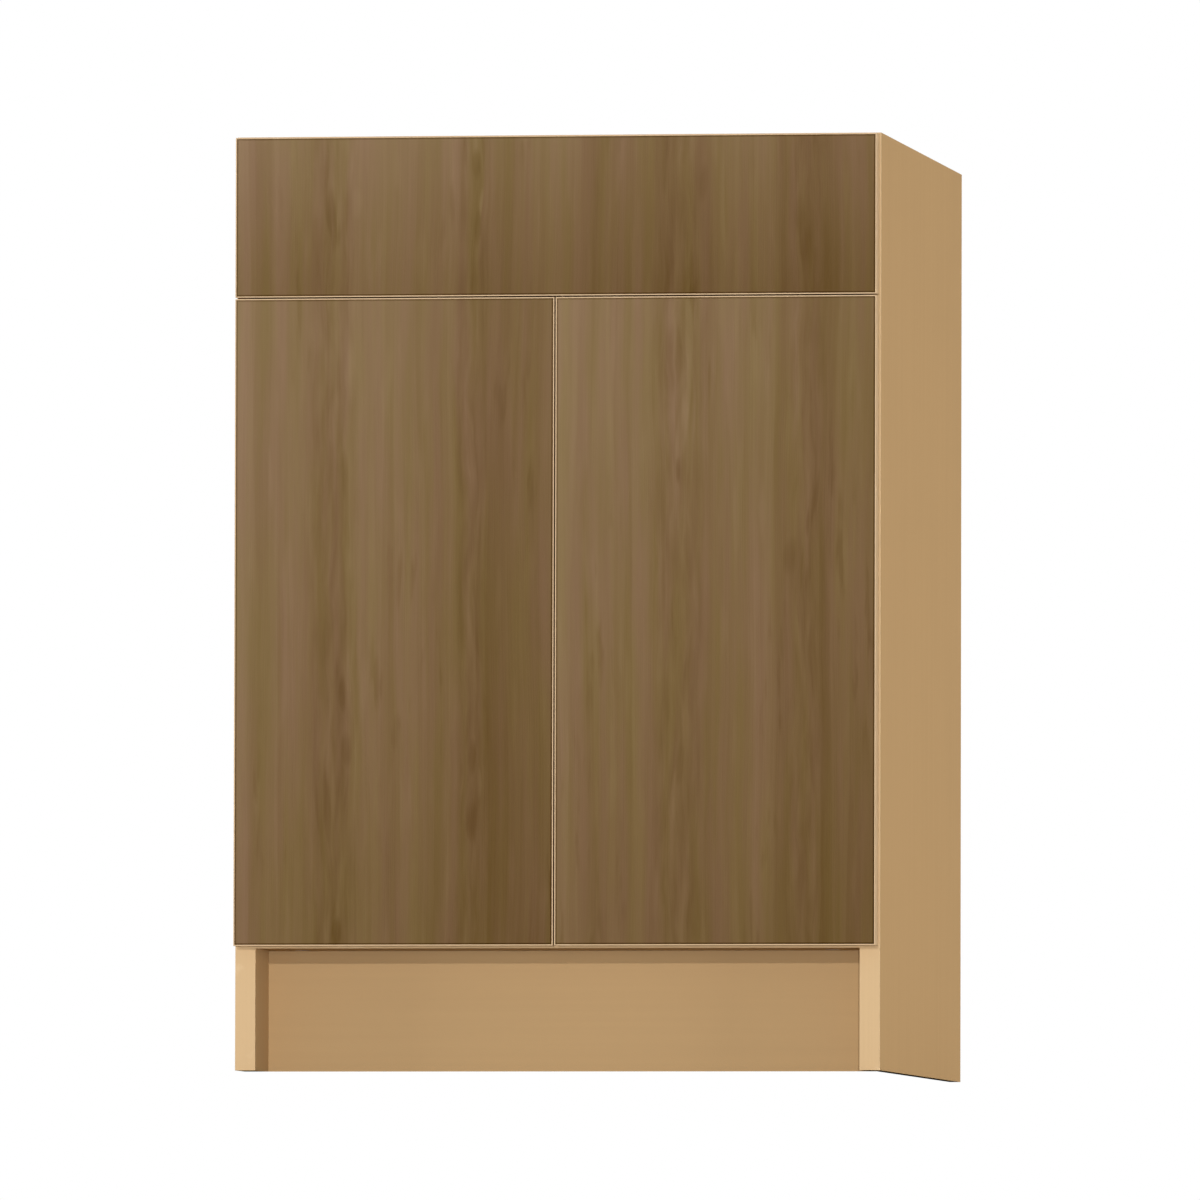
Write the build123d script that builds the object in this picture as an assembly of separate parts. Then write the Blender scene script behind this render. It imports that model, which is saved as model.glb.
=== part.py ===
from build123d import *

import math
import os
from typing import NamedTuple

# Frameless kitchen base cabinet: a drawer over a pair of doors, all plain slab fronts that open by a push.
# Millimetres. +X is to the right seen from the front, -Y is the front, +Z is up.
# The origin is the middle of the cabinet's footprint on the floor.

# Overall sizes
WIDTH = 609.6
HEIGHT = 876.3
CARCASS_DEPTH = 588.15
BOARD = 19.05
BAND = 1.0
TOE_HEIGHT = 114.3
TOE_RECESS = 76.2
TOP_RAIL_WIDTH = 100.0
DRAWER_RAIL_WIDTH = 90.0
HANGING_RAIL_HEIGHT = 100.0
BACK_THICKNESS = 6.0
BACK_GROOVE = 6.0
GROOVE_CLEARANCE = 0.5

# Fronts
FRONT_THICKNESS = 19.05
FACE_THICKNESS = 1.2
FACE_BEVEL_DEPTH = 1.0
FACE_BEVEL_WIDTH = 1.5
FRONT_GAP = 2.4
SIDE_REVEAL = 1.6
TOP_REVEAL = 1.9
BOTTOM_REVEAL = 1.9
FRONT_SPACING = 1.4
DRAWER_FRONT_HEIGHT = 150.1

# Adjustable shelf and its pins
SHELF_PIN_Z = 411.5
SHELF_PIN_RADIUS = 2.45
SHELF_PIN_HOLE_RADIUS = 2.5
SHELF_PIN_HOLE_DEPTH = 10.0
SHELF_PIN_REACH = 9.0
SHELF_PIN_HEAD = 8.0
SHELF_PIN_ROUND = 3.5
SHELF_HOLE_PITCH = 32.0
SHELF_HOLE_ROWS = 5
SHELF_COLUMN_INSET = 60.0
SHELF_SETBACK = 22.0
SHELF_SIDE_CLEARANCE = 1.0
SHELF_REAR_CLEARANCE = 2.0

# Hidden carcass fixings: cam locks, cam bolts and dowels
CAM_RADIUS = 7.5
CAM_DEPTH = 12.5
CAM_OFFSET = 34.0
CAM_RECESS = 1.6
CAM_POCKET_CLEARANCE = 0.4
BOLT_THREAD_RADIUS = 2.5
BOLT_THREAD_LENGTH = 11.0
BOLT_SHAFT_RADIUS = 2.9
BOLT_HEAD_RADIUS = 3.4
BOLT_HEAD_LENGTH = 4.0
BOLT_TUNNEL_RADIUS = 3.8
DOWEL_RADIUS = 4.0
DOWEL_IN_PANEL = 11.0
DOWEL_IN_BOARD = 19.0
DOWEL_FROM_CAM = 32.0
FIXING_INSET = 66.0
PRESS_CLEARANCE = 0.05
HOLE_END_CLEARANCE = 0.5

# Holes for fastening the cabinet to a worktop and a wall
WORKTOP_HOLE_RADIUS = 2.5
WORKTOP_HOLE_SPACING = 400.0
WALL_HOLE_RADIUS = 2.5
WALL_HOLE_SPACING = 406.4

# Screws that hold the hinges and slides
SCREW_RADIUS = 2.5
SCREW_LENGTH = 11.0
SCREW_HEAD_RADIUS = 4.0
SCREW_HEAD_HEIGHT = 1.8
SCREW_DRIVE = 1.2

# Cup hinges. Plan positions: u runs inwards from the cabinet's side, v forwards from the carcass front.
HINGE_INSET = 100.0
DOOR_SWING = 100.0
LEVER_TURN = -0.5
GUIDE_TURN = -0.3
CUP_RADIUS = 17.5
CUP_WALL = 0.9
CUP_FLOOR = 0.8
CUP_DEPTH = 13.4
CUP_TAB = 3.3
CUP_FIT = 0.1
FLANGE_THICKNESS = 1.0
FLANGE_LENGTH = 58.0
FLANGE_ROUND = 6.0
CUP_SCREW_SPACING = 45.0
CUP_SCREW_OFFSET = 9.5
CUP_SCREW_RADIUS = 1.75
CUP_SCREW_LENGTH = 11.0
CUP_SCREW_HEAD_RADIUS = 3.5
PIVOT_DEPTH = 3.1
LEVER_PIVOT_FROM_EDGE = 11.9
GUIDE_PIVOT_FROM_EDGE = 17.9
ARM_PIVOT_U = 34.5
GUIDE_PIN_U = 41.0
ARM_PIVOT_BACK = 9.5
PIN_RADIUS = 1.0
PIN_FIT = 0.05
EYE_RADIUS = 1.9
LEVER_WIDTH = 10.0
LEVER_THICKNESS = 2.4
LEVER_BULGE = 13.0
GUIDE_BULGE = -5.0
GUIDE_STRIP = 2.8
GUIDE_PLATE = 2.4
LAYER_GAP = 0.6
CHEEK = 1.2
SLOT_CLEARANCE = 0.45
SLOT_FRONT_WALL = 0.6
SLOT_REST_WALL = 2.4
ARM_WEB_U = 34.0
ARM_CHEEK_DEPTH = 8.0
ARM_REAR_BACK = 62.0
ARM_NECK_BACK = 24.0
ARM_NECK_RADIUS = 4.6
ARM_EAR_RADIUS = 4.2
PLATE_BASE = 2.0
PLATE_WING_LENGTH = 44.0
PLATE_WING_WIDTH = 14.0
PLATE_ROUND = 4.0
PLATE_SCREW_SPACING = 32.0
PLATE_SCREW_BACK = 37.0
PLATE_FRONT_BACK = 20.0
PLATE_REAR_BACK = 58.0
ARM_SCREW_BACK = 50.0
ARM_SCREW_RADIUS = 2.0
ARM_SCREW_LENGTH = 8.0
ARM_SCREW_HEAD_RADIUS = 3.6

# Drawer box and its ball-bearing slides
DRAWER_BOARD = 15.0
DRAWER_BOX_HEIGHT = 100.0
DRAWER_LIFT = 12.0
DRAWER_BOTTOM = 6.0
DRAWER_GROOVE = 6.0
DRAWER_GROOVE_Z = 12.0
DRAWER_DOWEL_RADIUS = 3.0
DRAWER_DOWEL_IN_SIDE = 9.0
DRAWER_DOWEL_IN_END = 20.0
DRAWER_DOWEL_LOW = 40.0
DRAWER_DOWEL_HIGH = 78.0
FRONT_SCREW_RADIUS = 2.0
FRONT_SCREW_BITE = 12.0
FRONT_SCREW_SPACING_X = 360.0
FRONT_SCREW_SPACING_Z = 44.0
SLIDE_LENGTH = 500.0
SLIDE_SETBACK = 3.0
SLIDE_THICKNESS = 12.7
SLIDE_HEIGHT = 45.0
SLIDE_WALL = 1.2
SLIDE_OUTER_LIP = 9.0
SLIDE_MIDDLE_WEB = 4.6
SLIDE_MIDDLE_LIP = 9.8
SLIDE_INNER_LIP = 7.2
SLIDE_SCREW_INSET = 40.0
BALL_RADIUS = 1.2
BALL_FIT = 0.05
BALL_PITCH = 20.0
BALL_COUNT = 11

# Push latches drilled into the carcass edges
LATCH_RADIUS = 5.0
LATCH_LENGTH = 50.0
LATCH_COLLAR_RADIUS = 6.5
LATCH_COLLAR = 0.8
LATCH_WALL = 1.8
LATCH_FIT = 0.1
PLUNGER_CLEARANCE = 0.1
PLUNGER_GAP = 0.4
PLUNGER_LENGTH = 40.0
PLUNGER_ROUND = 0.8
SPRING_WIRE_RADIUS = 0.35
SPRING_COIL_RADIUS = 2.4
SPRING_TURNS = 7
SPRING_END_CLEARANCE = 0.1
DOOR_LATCH_X = 40.0

# Planes and heights that follow from the sizes above
DEPTH = CARCASS_DEPTH + FRONT_GAP + FRONT_THICKNESS
REAR = DEPTH / 2
CARCASS_FRONT = REAR - CARCASS_DEPTH
BOARD_FRONT = CARCASS_FRONT + BAND
FRONT_BACK = CARCASS_FRONT - FRONT_GAP
SIDE = WIDTH / 2
INNER = SIDE - BOARD
BACK_REAR = REAR - BOARD
BACK_FRONT = BACK_REAR - BACK_THICKNESS
FLOOR_TOP = TOE_HEIGHT + BOARD
TOP_RAIL_Z = HEIGHT - BOARD
TOE_FRONT = CARCASS_FRONT + TOE_RECESS
DOOR_BOTTOM = TOE_HEIGHT + BOTTOM_REVEAL
DRAWER_FRONT_TOP = HEIGHT - TOP_REVEAL
DRAWER_FRONT_BOTTOM = DRAWER_FRONT_TOP - DRAWER_FRONT_HEIGHT
DOOR_TOP = DRAWER_FRONT_BOTTOM - FRONT_SPACING
DOOR_OUTER = SIDE - SIDE_REVEAL
DOOR_INNER = FRONT_SPACING / 2
DRAWER_RAIL_Z = (DOOR_TOP + DRAWER_FRONT_BOTTOM) / 2 - BOARD / 2
SHELF_Z = SHELF_PIN_Z + SHELF_PIN_RADIUS
BOX_HALF = INNER - SLIDE_THICKNESS
BOX_Z = DRAWER_RAIL_Z + BOARD + DRAWER_LIFT
BOX_REAR = CARCASS_FRONT + SLIDE_SETBACK + SLIDE_LENGTH
SLIDE_FRONT = CARCASS_FRONT + SLIDE_SETBACK
SLIDE_Z = BOX_Z + DRAWER_BOX_HEIGHT / 2
HINGE_HEIGHTS = (DOOR_BOTTOM + HINGE_INSET, DOOR_TOP - HINGE_INSET)
FRONT_RAIL_Y = CARCASS_FRONT + TOP_RAIL_WIDTH / 2
REAR_RAIL_Y = BACK_FRONT - TOP_RAIL_WIDTH / 2
DOWN = (0, 0, -1)
BACKWARD = (0, 1, 0)


def block(x, y, z):
    """Box between the low and high limits given for each axis."""
    low = (x[0], y[0], z[0])
    size = (x[1] - x[0], y[1] - y[0], z[1] - z[0])
    return Pos(*low) * Box(*size, align=Align.MIN)


def rod(start, axis, radius, length):
    """Round bar from a start point along an axis."""
    plane = Plane(origin=start, z_dir=axis)
    return plane * Cylinder(radius, length, align=(Align.CENTER, Align.CENTER, Align.MIN))


def mirrored(shapes):
    """Copies of the left-hand shapes for the right-hand side."""
    return [mirror(shape, about=Plane.YZ) for shape in shapes]


def save(name, shapes):
    """Write one node, whose solids stay separate."""
    solids = [solid for shape in shapes for solid in shape.solids()]
    node = solids[0] if len(solids) == 1 else Compound(solids)
    export_step(node, f"parts/{name}.step")


class Fixing(NamedTuple):
    """Cam lock at both ends of a board: its bolt's place and the face that the cam is drilled from."""

    y: float
    z: float
    face: tuple


def horizontal_fixings(places, z):
    """Cams drilled from below into a lying board whose underside is at z."""
    return [Fixing(y, z + BOARD / 2, DOWN) for y in places]


def upright_fixings(y, places):
    """Cams drilled from behind into a standing board whose front is at y."""
    return [Fixing(y + BOARD / 2, z, BACKWARD) for z in places]


BOTTOM_FIXINGS = horizontal_fixings((CARCASS_FRONT + FIXING_INSET, BACK_FRONT - FIXING_INSET), TOE_HEIGHT)
FRONT_RAIL_FIXINGS = horizontal_fixings((FRONT_RAIL_Y - DOWEL_FROM_CAM / 2,), TOP_RAIL_Z)
REAR_RAIL_FIXINGS = horizontal_fixings((REAR_RAIL_Y - DOWEL_FROM_CAM / 2,), TOP_RAIL_Z)
DRAWER_RAIL_Y = CARCASS_FRONT + DRAWER_RAIL_WIDTH / 2
DRAWER_RAIL_FIXINGS = horizontal_fixings((DRAWER_RAIL_Y - DOWEL_FROM_CAM / 2,), DRAWER_RAIL_Z)
TOE_FIXINGS = upright_fixings(TOE_FRONT, (TOE_HEIGHT / 2 - DOWEL_FROM_CAM / 2,))
HANGING_FIXINGS = upright_fixings(BACK_REAR, (HEIGHT - (HANGING_RAIL_HEIGHT + DOWEL_FROM_CAM) / 2,))
ALL_FIXINGS = (BOTTOM_FIXINGS + FRONT_RAIL_FIXINGS + REAR_RAIL_FIXINGS + DRAWER_RAIL_FIXINGS + TOE_FIXINGS
               + HANGING_FIXINGS)


def dowel_place(fixing):
    """Where the dowel beside a cam bolt meets the side panel."""
    if fixing.face == DOWN:
        return fixing.y + DOWEL_FROM_CAM, fixing.z
    return fixing.y, fixing.z + DOWEL_FROM_CAM


def cam_face(fixing, side):
    """Middle of the cam's mouth on the board's face."""
    centre = Vector(side * (INNER - CAM_OFFSET), fixing.y, fixing.z)
    return centre + Vector(*fixing.face) * (BOARD / 2)


def cam_lock(fixing, side):
    """Turning cam with a pocket for the bolt's head and a cross recess for the driver."""
    face = cam_face(fixing, side)
    inward = Vector(*fixing.face) * -1
    cam = rod(face, inward, CAM_RADIUS - PRESS_CLEARANCE, CAM_DEPTH)
    pocket_start = (side * (INNER - CAM_OFFSET - BOLT_HEAD_RADIUS), fixing.y, fixing.z)
    pocket = rod(pocket_start, (side, 0, 0), BOLT_HEAD_RADIUS + CAM_POCKET_CLEARANCE, CAM_OFFSET)
    mouth = Plane(origin=face, z_dir=inward)
    slots = [mouth * Box(length, width, 2 * CAM_RECESS)
             for length, width in ((CAM_RADIUS, CAM_RECESS), (CAM_RECESS, CAM_RADIUS))]
    return cam - [pocket] - slots


def cam_bolt(fixing, side):
    """Bolt screwed into the side panel, with its head inside the cam."""
    start = Vector(side * INNER, fixing.y, fixing.z)
    thread = rod(start, (side, 0, 0), BOLT_THREAD_RADIUS - PRESS_CLEARANCE, BOLT_THREAD_LENGTH)
    shaft = rod(start, (-side, 0, 0), BOLT_SHAFT_RADIUS, CAM_OFFSET - BOLT_HEAD_LENGTH / 2)
    head_start = start - Vector(side * (CAM_OFFSET - BOLT_HEAD_LENGTH), 0, 0)
    head = rod(head_start, (-side, 0, 0), BOLT_HEAD_RADIUS, BOLT_HEAD_LENGTH)
    return thread + shaft + head


def dowel(fixing, side):
    """Wooden dowel shared by a side panel and a board's end."""
    y, z = dowel_place(fixing)
    start = (side * (INNER + DOWEL_IN_PANEL), y, z)
    return rod(start, (-side, 0, 0), DOWEL_RADIUS - PRESS_CLEARANCE, DOWEL_IN_PANEL + DOWEL_IN_BOARD)


def board_drilling(fixings):
    """Cam bores, bolt tunnels and dowel holes in both ends of a board."""
    cutters = []
    for fixing in fixings:
        y, z = dowel_place(fixing)
        for side in (-1, 1):
            inward = Vector(*fixing.face) * -1
            cutters.append(rod(cam_face(fixing, side), inward, CAM_RADIUS, CAM_DEPTH + HOLE_END_CLEARANCE))
            bolt_start = (side * INNER, fixing.y, fixing.z)
            cutters.append(rod(bolt_start, (-side, 0, 0), BOLT_TUNNEL_RADIUS, CAM_OFFSET))
            cutters.append(rod((side * INNER, y, z), (-side, 0, 0), DOWEL_RADIUS,
                               DOWEL_IN_BOARD + HOLE_END_CLEARANCE))
    return cutters


def shelf_columns():
    """Y places of the two columns of shelf-pin holes."""
    return CARCASS_FRONT + SHELF_COLUMN_INSET, BACK_FRONT - SHELF_COLUMN_INSET


def slide_screw_places():
    """Y places of the screws along a drawer slide."""
    return SLIDE_FRONT + SLIDE_SCREW_INSET, SLIDE_FRONT + SLIDE_LENGTH / 2, BOX_REAR - SLIDE_SCREW_INSET


def plate_screw_places():
    """Y and Z places of the screws that hold one side's hinge plates."""
    y = CARCASS_FRONT + PLATE_SCREW_BACK
    half = PLATE_SCREW_SPACING / 2
    return [(y, z + offset) for z in HINGE_HEIGHTS for offset in (-half, half)]


def left_panel_drilling():
    """All holes in the inner face of the left side panel."""
    cutters = []
    for fixing in ALL_FIXINGS:
        y, z = dowel_place(fixing)
        cutters.append(rod((-INNER, fixing.y, fixing.z), (-1, 0, 0), BOLT_THREAD_RADIUS,
                           BOLT_THREAD_LENGTH + HOLE_END_CLEARANCE))
        cutters.append(rod((-INNER, y, z), (-1, 0, 0), DOWEL_RADIUS, DOWEL_IN_PANEL + HOLE_END_CLEARANCE))
    first = -(SHELF_HOLE_ROWS - 1) / 2
    for column in shelf_columns():
        for row in range(SHELF_HOLE_ROWS):
            z = SHELF_PIN_Z + (first + row) * SHELF_HOLE_PITCH
            mouth = (-INNER, column, z)
            cutters.append(rod(mouth, (-1, 0, 0), SHELF_PIN_HOLE_RADIUS, SHELF_PIN_HOLE_DEPTH))
    for y, z in plate_screw_places() + [(y, SLIDE_Z) for y in slide_screw_places()]:
        cutters.append(rod((-INNER, y, z), (-1, 0, 0), SCREW_RADIUS, SCREW_LENGTH + HOLE_END_CLEARANCE))
    return cutters


def make_side_panels():
    """Side panels that stand on the floor, grooved for the back panel."""
    panel = block((-SIDE, -INNER), (BOARD_FRONT, REAR), (0, HEIGHT))
    groove = block((-INNER - BACK_GROOVE, -INNER), (BACK_FRONT, BACK_REAR), (TOE_HEIGHT, HEIGHT))
    left = panel - [groove] - left_panel_drilling()
    save("side_panel_left", [left])
    save("side_panel_right", mirrored([left]))


def make_carcass_boards():
    """Boards that join the two side panels."""
    across = (-INNER, INNER)
    rail_z = (TOP_RAIL_Z, HEIGHT)
    latches = latch_bores()
    bottom = block(across, (BOARD_FRONT, BACK_FRONT), (TOE_HEIGHT, FLOOR_TOP))
    save("bottom_panel", [bottom - board_drilling(BOTTOM_FIXINGS) - latches])
    front_rail = block(across, (BOARD_FRONT, CARCASS_FRONT + TOP_RAIL_WIDTH), rail_z)
    front_rail -= board_drilling(FRONT_RAIL_FIXINGS)
    save("front_top_rail", [front_rail - latches - worktop_holes(FRONT_RAIL_Y)])
    rear_rail = block(across, (BACK_FRONT - TOP_RAIL_WIDTH, BACK_FRONT), rail_z)
    save("rear_top_rail", [rear_rail - board_drilling(REAR_RAIL_FIXINGS) - worktop_holes(REAR_RAIL_Y)])
    drawer_rail = block(across, (BOARD_FRONT, CARCASS_FRONT + DRAWER_RAIL_WIDTH),
                        (DRAWER_RAIL_Z, DRAWER_RAIL_Z + BOARD))
    save("drawer_rail", [drawer_rail - board_drilling(DRAWER_RAIL_FIXINGS)])
    toe = block(across, (TOE_FRONT, TOE_FRONT + BOARD), (0, TOE_HEIGHT))
    save("toe_kick_board", [toe - board_drilling(TOE_FIXINGS)])
    hanging = block(across, (BACK_REAR, REAR), (HEIGHT - HANGING_RAIL_HEIGHT, HEIGHT))
    save("hanging_rail", [hanging - board_drilling(HANGING_FIXINGS) - wall_holes()])
    reach = INNER + BACK_GROOVE - GROOVE_CLEARANCE
    back = block((-reach, reach), (BACK_FRONT, BACK_REAR), (TOE_HEIGHT, HEIGHT))
    save("back_panel", [back - wall_holes()])


def worktop_holes(y):
    """Upright screw holes through a top rail, for fastening a worktop from below."""
    return [rod((side * WORKTOP_HOLE_SPACING / 2, y, TOP_RAIL_Z), (0, 0, 1), WORKTOP_HOLE_RADIUS, BOARD)
            for side in (-1, 1)]


def wall_holes():
    """Level screw holes through the back and the hanging rail, for fastening to a wall."""
    z = HEIGHT - HANGING_RAIL_HEIGHT / 2
    through = REAR - BACK_FRONT
    return [rod((side * WALL_HOLE_SPACING / 2, BACK_FRONT, z), BACKWARD, WALL_HOLE_RADIUS, through)
            for side in (-1, 1)]


def make_edge_bands():
    """Thin strips glued to the boards' front edges."""
    edge = (CARCASS_FRONT, BOARD_FRONT)
    left = block((-SIDE, -INNER), edge, (0, HEIGHT))
    strips = [left] + mirrored([left])
    for z in (TOE_HEIGHT, DRAWER_RAIL_Z, TOP_RAIL_Z):
        strips.append(block((-INNER, INNER), edge, (z, z + BOARD)) - latch_bores())
    shelf_reach = INNER - SHELF_SIDE_CLEARANCE
    shelf_front = CARCASS_FRONT + SHELF_SETBACK
    shelf_edge = (shelf_front, shelf_front + BAND)
    strips.append(block((-shelf_reach, shelf_reach), shelf_edge, (SHELF_Z, SHELF_Z + BOARD)))
    save("carcass_edge_bands", strips)


def make_shelf():
    """Loose shelf on four pins."""
    reach = INNER - SHELF_SIDE_CLEARANCE
    depth = (CARCASS_FRONT + SHELF_SETBACK + BAND, BACK_FRONT - SHELF_REAR_CLEARANCE)
    save("shelf", [block((-reach, reach), depth, (SHELF_Z, SHELF_Z + BOARD))])
    pins = []
    half = SHELF_PIN_HEAD / 2
    head_x = (-INNER, -INNER + SHELF_PIN_REACH)
    head_z = (SHELF_Z - SHELF_PIN_HEAD, SHELF_Z)
    shaft_length = SHELF_PIN_HOLE_DEPTH - HOLE_END_CLEARANCE
    for y in shelf_columns():
        shaft = rod((-INNER, y, SHELF_PIN_Z), (-1, 0, 0), SHELF_PIN_RADIUS, shaft_length)
        head = block(head_x, (y - half, y + half), head_z)
        low = head.edges().filter_by(Axis.X).group_by(Axis.Z)[0]
        pins.append(shaft + fillet(low, SHELF_PIN_ROUND))
    save("shelf_pins", pins + mirrored(pins))


def make_fixings():
    """Cam locks, cam bolts and dowels at every board end."""
    ends = [(fixing, side) for fixing in ALL_FIXINGS for side in (-1, 1)]
    save("cam_locks", [cam_lock(*end) for end in ends])
    save("cam_bolts", [cam_bolt(*end) for end in ends])
    save("dowels", [dowel(*end) for end in ends])


def pan_screw(seat, axis, radius, length, head_radius):
    """Screw whose head sits on a seat point and whose shank runs along an axis."""
    axis = Vector(*axis)
    shank = rod(seat, axis, radius - PRESS_CLEARANCE, length)
    head = rod(Vector(*seat) - axis * SCREW_HEAD_HEIGHT, axis, head_radius, SCREW_HEAD_HEIGHT)
    drive_plane = Plane(origin=Vector(*seat) - axis * SCREW_HEAD_HEIGHT, z_dir=axis)
    drive = [drive_plane * Box(length, width, SCREW_DRIVE)
             for length, width in ((head_radius, SCREW_DRIVE), (SCREW_DRIVE, head_radius))]
    return shank + head - drive


def make_hardware_screws():
    """Screws that hold the hinge plates, the arms on them and the outer slide members."""
    screws = at_hinges([hinge_arm_screw()])
    for thickness, places in ((PLATE_BASE, plate_screw_places()),
                              (SLIDE_WALL, [(y, SLIDE_Z) for y in slide_screw_places()])):
        for y, z in places:
            screws.append(pan_screw((-INNER + thickness, y, z), (-1, 0, 0), SCREW_RADIUS,
                                    SCREW_LENGTH + thickness, SCREW_HEAD_RADIUS))
    save("hardware_screws", screws + mirrored(screws))


def latch_places():
    """X and Z of each push latch, by the front it pushes."""
    door_z = TOE_HEIGHT + BOARD / 2
    drawer_z = TOP_RAIL_Z + BOARD / 2
    return {"left": (-DOOR_LATCH_X, door_z), "right": (DOOR_LATCH_X, door_z), "drawer": (0, drawer_z)}


def latch_bores():
    """Bores for the latches, drilled into the carcass from the front."""
    depth = LATCH_LENGTH + HOLE_END_CLEARANCE
    return [rod((x, CARCASS_FRONT, z), BACKWARD, LATCH_RADIUS + LATCH_FIT, depth)
            for x, z in latch_places().values()]


def biarc(start, leaving, end, arriving):
    """Two arcs from start to end that leave and arrive along the given unit directions."""
    span = end - start
    bend = 2 * (1 - leaving.dot(arriving))
    along = span.dot(leaving + arriving)
    reach = (math.sqrt(along ** 2 + bend * span.dot(span)) - along) / bend
    first_corner = start + leaving * reach
    second_corner = end - arriving * reach
    joint = (first_corner + second_corner) / 2
    return [TangentArc(start, joint, tangent=leaving),
            TangentArc(joint, end, tangent=second_corner - first_corner)]


def latch_spring():
    """Compressed spring between a plunger's rear and the housing's end, as quarter turns of a helix."""
    end_room = SPRING_WIRE_RADIUS + SPRING_END_CLEARANCE
    first = FRONT_BACK + PLUNGER_GAP + PLUNGER_LENGTH + end_room
    last = CARCASS_FRONT + LATCH_LENGTH - LATCH_WALL - end_room
    pitch = (last - first) / SPRING_TURNS
    places = []
    for quarter in range(4 * SPRING_TURNS + 1):
        angle = quarter * math.pi / 2
        circle = Vector(math.cos(angle), 0, math.sin(angle)) * SPRING_COIL_RADIUS
        way = Vector(-math.sin(angle) * SPRING_COIL_RADIUS, pitch / (2 * math.pi),
                     math.cos(angle) * SPRING_COIL_RADIUS)
        places.append((circle + Vector(0, first + pitch * quarter / 4, 0), way.normalized()))
    arcs = [arc for here, there in zip(places, places[1:]) for arc in biarc(*here, *there)]
    start, way = places[0]
    return sweep(Plane(origin=start, z_dir=way) * Circle(SPRING_WIRE_RADIUS), path=Wire(arcs))


def make_latches():
    """Latch housings, the plungers that slide in them and the springs behind the plungers."""
    bore = LATCH_RADIUS - LATCH_WALL
    housings = []
    springs = []
    for name, (x, z) in latch_places().items():
        mouth = (x, CARCASS_FRONT, z)
        lip = (x, CARCASS_FRONT - LATCH_COLLAR, z)
        collar = rod(lip, BACKWARD, LATCH_COLLAR_RADIUS, LATCH_COLLAR)
        hollow = rod(lip, BACKWARD, bore, LATCH_COLLAR + LATCH_LENGTH - LATCH_WALL)
        housings.append(rod(mouth, BACKWARD, LATCH_RADIUS, LATCH_LENGTH) + collar - hollow)
        tip = (x, FRONT_BACK + PLUNGER_GAP, z)
        plunger = rod(tip, BACKWARD, bore - PLUNGER_CLEARANCE, PLUNGER_LENGTH)
        tip_edge = plunger.edges().group_by(Axis.Y)[0]
        save(f"{name}_latch_plunger", [fillet(tip_edge, PLUNGER_ROUND)])
        springs.append(Pos(x, 0, z) * latch_spring())
    save("latch_housings", housings)
    save("latch_springs", springs)


def plan(u, v):
    """World X and Y of a plan point of the left-hand hinges."""
    return Vector(-SIDE + u, CARCASS_FRONT - v)


CUP_U = SIDE_REVEAL + CUP_TAB + CUP_RADIUS
DOOR_PIVOT = (SIDE_REVEAL + LEVER_PIVOT_FROM_EDGE, FRONT_GAP + PIVOT_DEPTH)
GUIDE_PIVOT = (SIDE_REVEAL + GUIDE_PIVOT_FROM_EDGE, FRONT_GAP + PIVOT_DEPTH)
ARM_PIVOT = (ARM_PIVOT_U, -ARM_PIVOT_BACK)
GUIDE_PIN = (GUIDE_PIN_U, -ARM_PIVOT_BACK)
GUIDE_INNER = LEVER_WIDTH / 2 + LAYER_GAP
GUIDE_OUTER = GUIDE_INNER + GUIDE_PLATE
CHEEK_INNER = GUIDE_OUTER + LAYER_GAP
CHEEK_OUTER = CHEEK_INNER + CHEEK


def turned(point, centre, degrees):
    """Plan point turned about a centre."""
    angle = math.radians(degrees)
    du = point[0] - centre[0]
    dv = point[1] - centre[1]
    return (centre[0] + du * math.cos(angle) - dv * math.sin(angle),
            centre[1] + du * math.sin(angle) + dv * math.cos(angle))


def guide_pin_at(swing):
    """Plan place of the guide lever's pin when the door has swung by an angle."""
    door_pivot = turned(DOOR_PIVOT, ARM_PIVOT, LEVER_TURN * swing)
    offset = turned(GUIDE_PIVOT, DOOR_PIVOT, swing)
    guide_pivot = (door_pivot[0] + offset[0] - DOOR_PIVOT[0], door_pivot[1] + offset[1] - DOOR_PIVOT[1])
    reach = turned(GUIDE_PIN, GUIDE_PIVOT, GUIDE_TURN * swing)
    return guide_pivot[0] + reach[0] - GUIDE_PIVOT[0], guide_pivot[1] + reach[1] - GUIDE_PIVOT[1]


def slot_end():
    """Farthest place from rest that the guide lever's pin reaches."""
    path = [guide_pin_at(swing) for swing in range(int(DOOR_SWING) + 1)]
    return max(path, key=lambda point: math.dist(point, GUIDE_PIN))


def disc(point, radius):
    """Round sketch at a plan point."""
    return Pos(plan(*point)) * Circle(radius)


def lever_outline(start, end, bulge, width):
    """Bowed strip in plan between two eyes; the bulge is to the right of the way from start to end."""
    a = plan(*start)
    b = plan(*end)
    along = (b - a).normalized()
    control = (a + b) / 2 + Vector(-along.Y, along.X) * (2 * bulge)
    return trace(Bezier(a, control, b), line_width=width) + disc(start, EYE_RADIUS) + disc(end, EYE_RADIUS)


def layer(outline, low, high):
    """Plan outline made solid between two heights."""
    return Pos(0, 0, low) * extrude(outline, amount=high - low, dir=(0, 0, 1))


def both_layers(outline, inner, outer):
    """The same outline above and below the hinge's middle."""
    return [layer(outline, inner, outer), layer(outline, -outer, -inner)]


def at_hinges(shapes):
    """Copies of one hinge's pieces at every hinge height."""
    return [Pos(0, 0, z) * shape for z in HINGE_HEIGHTS for shape in shapes]


def upright_pin(point, low, high):
    """Pivot pin between two heights."""
    x, y = plan(*point).X, plan(*point).Y
    return rod((x, y, low), (0, 0, 1), PIN_RADIUS, high - low)


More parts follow.
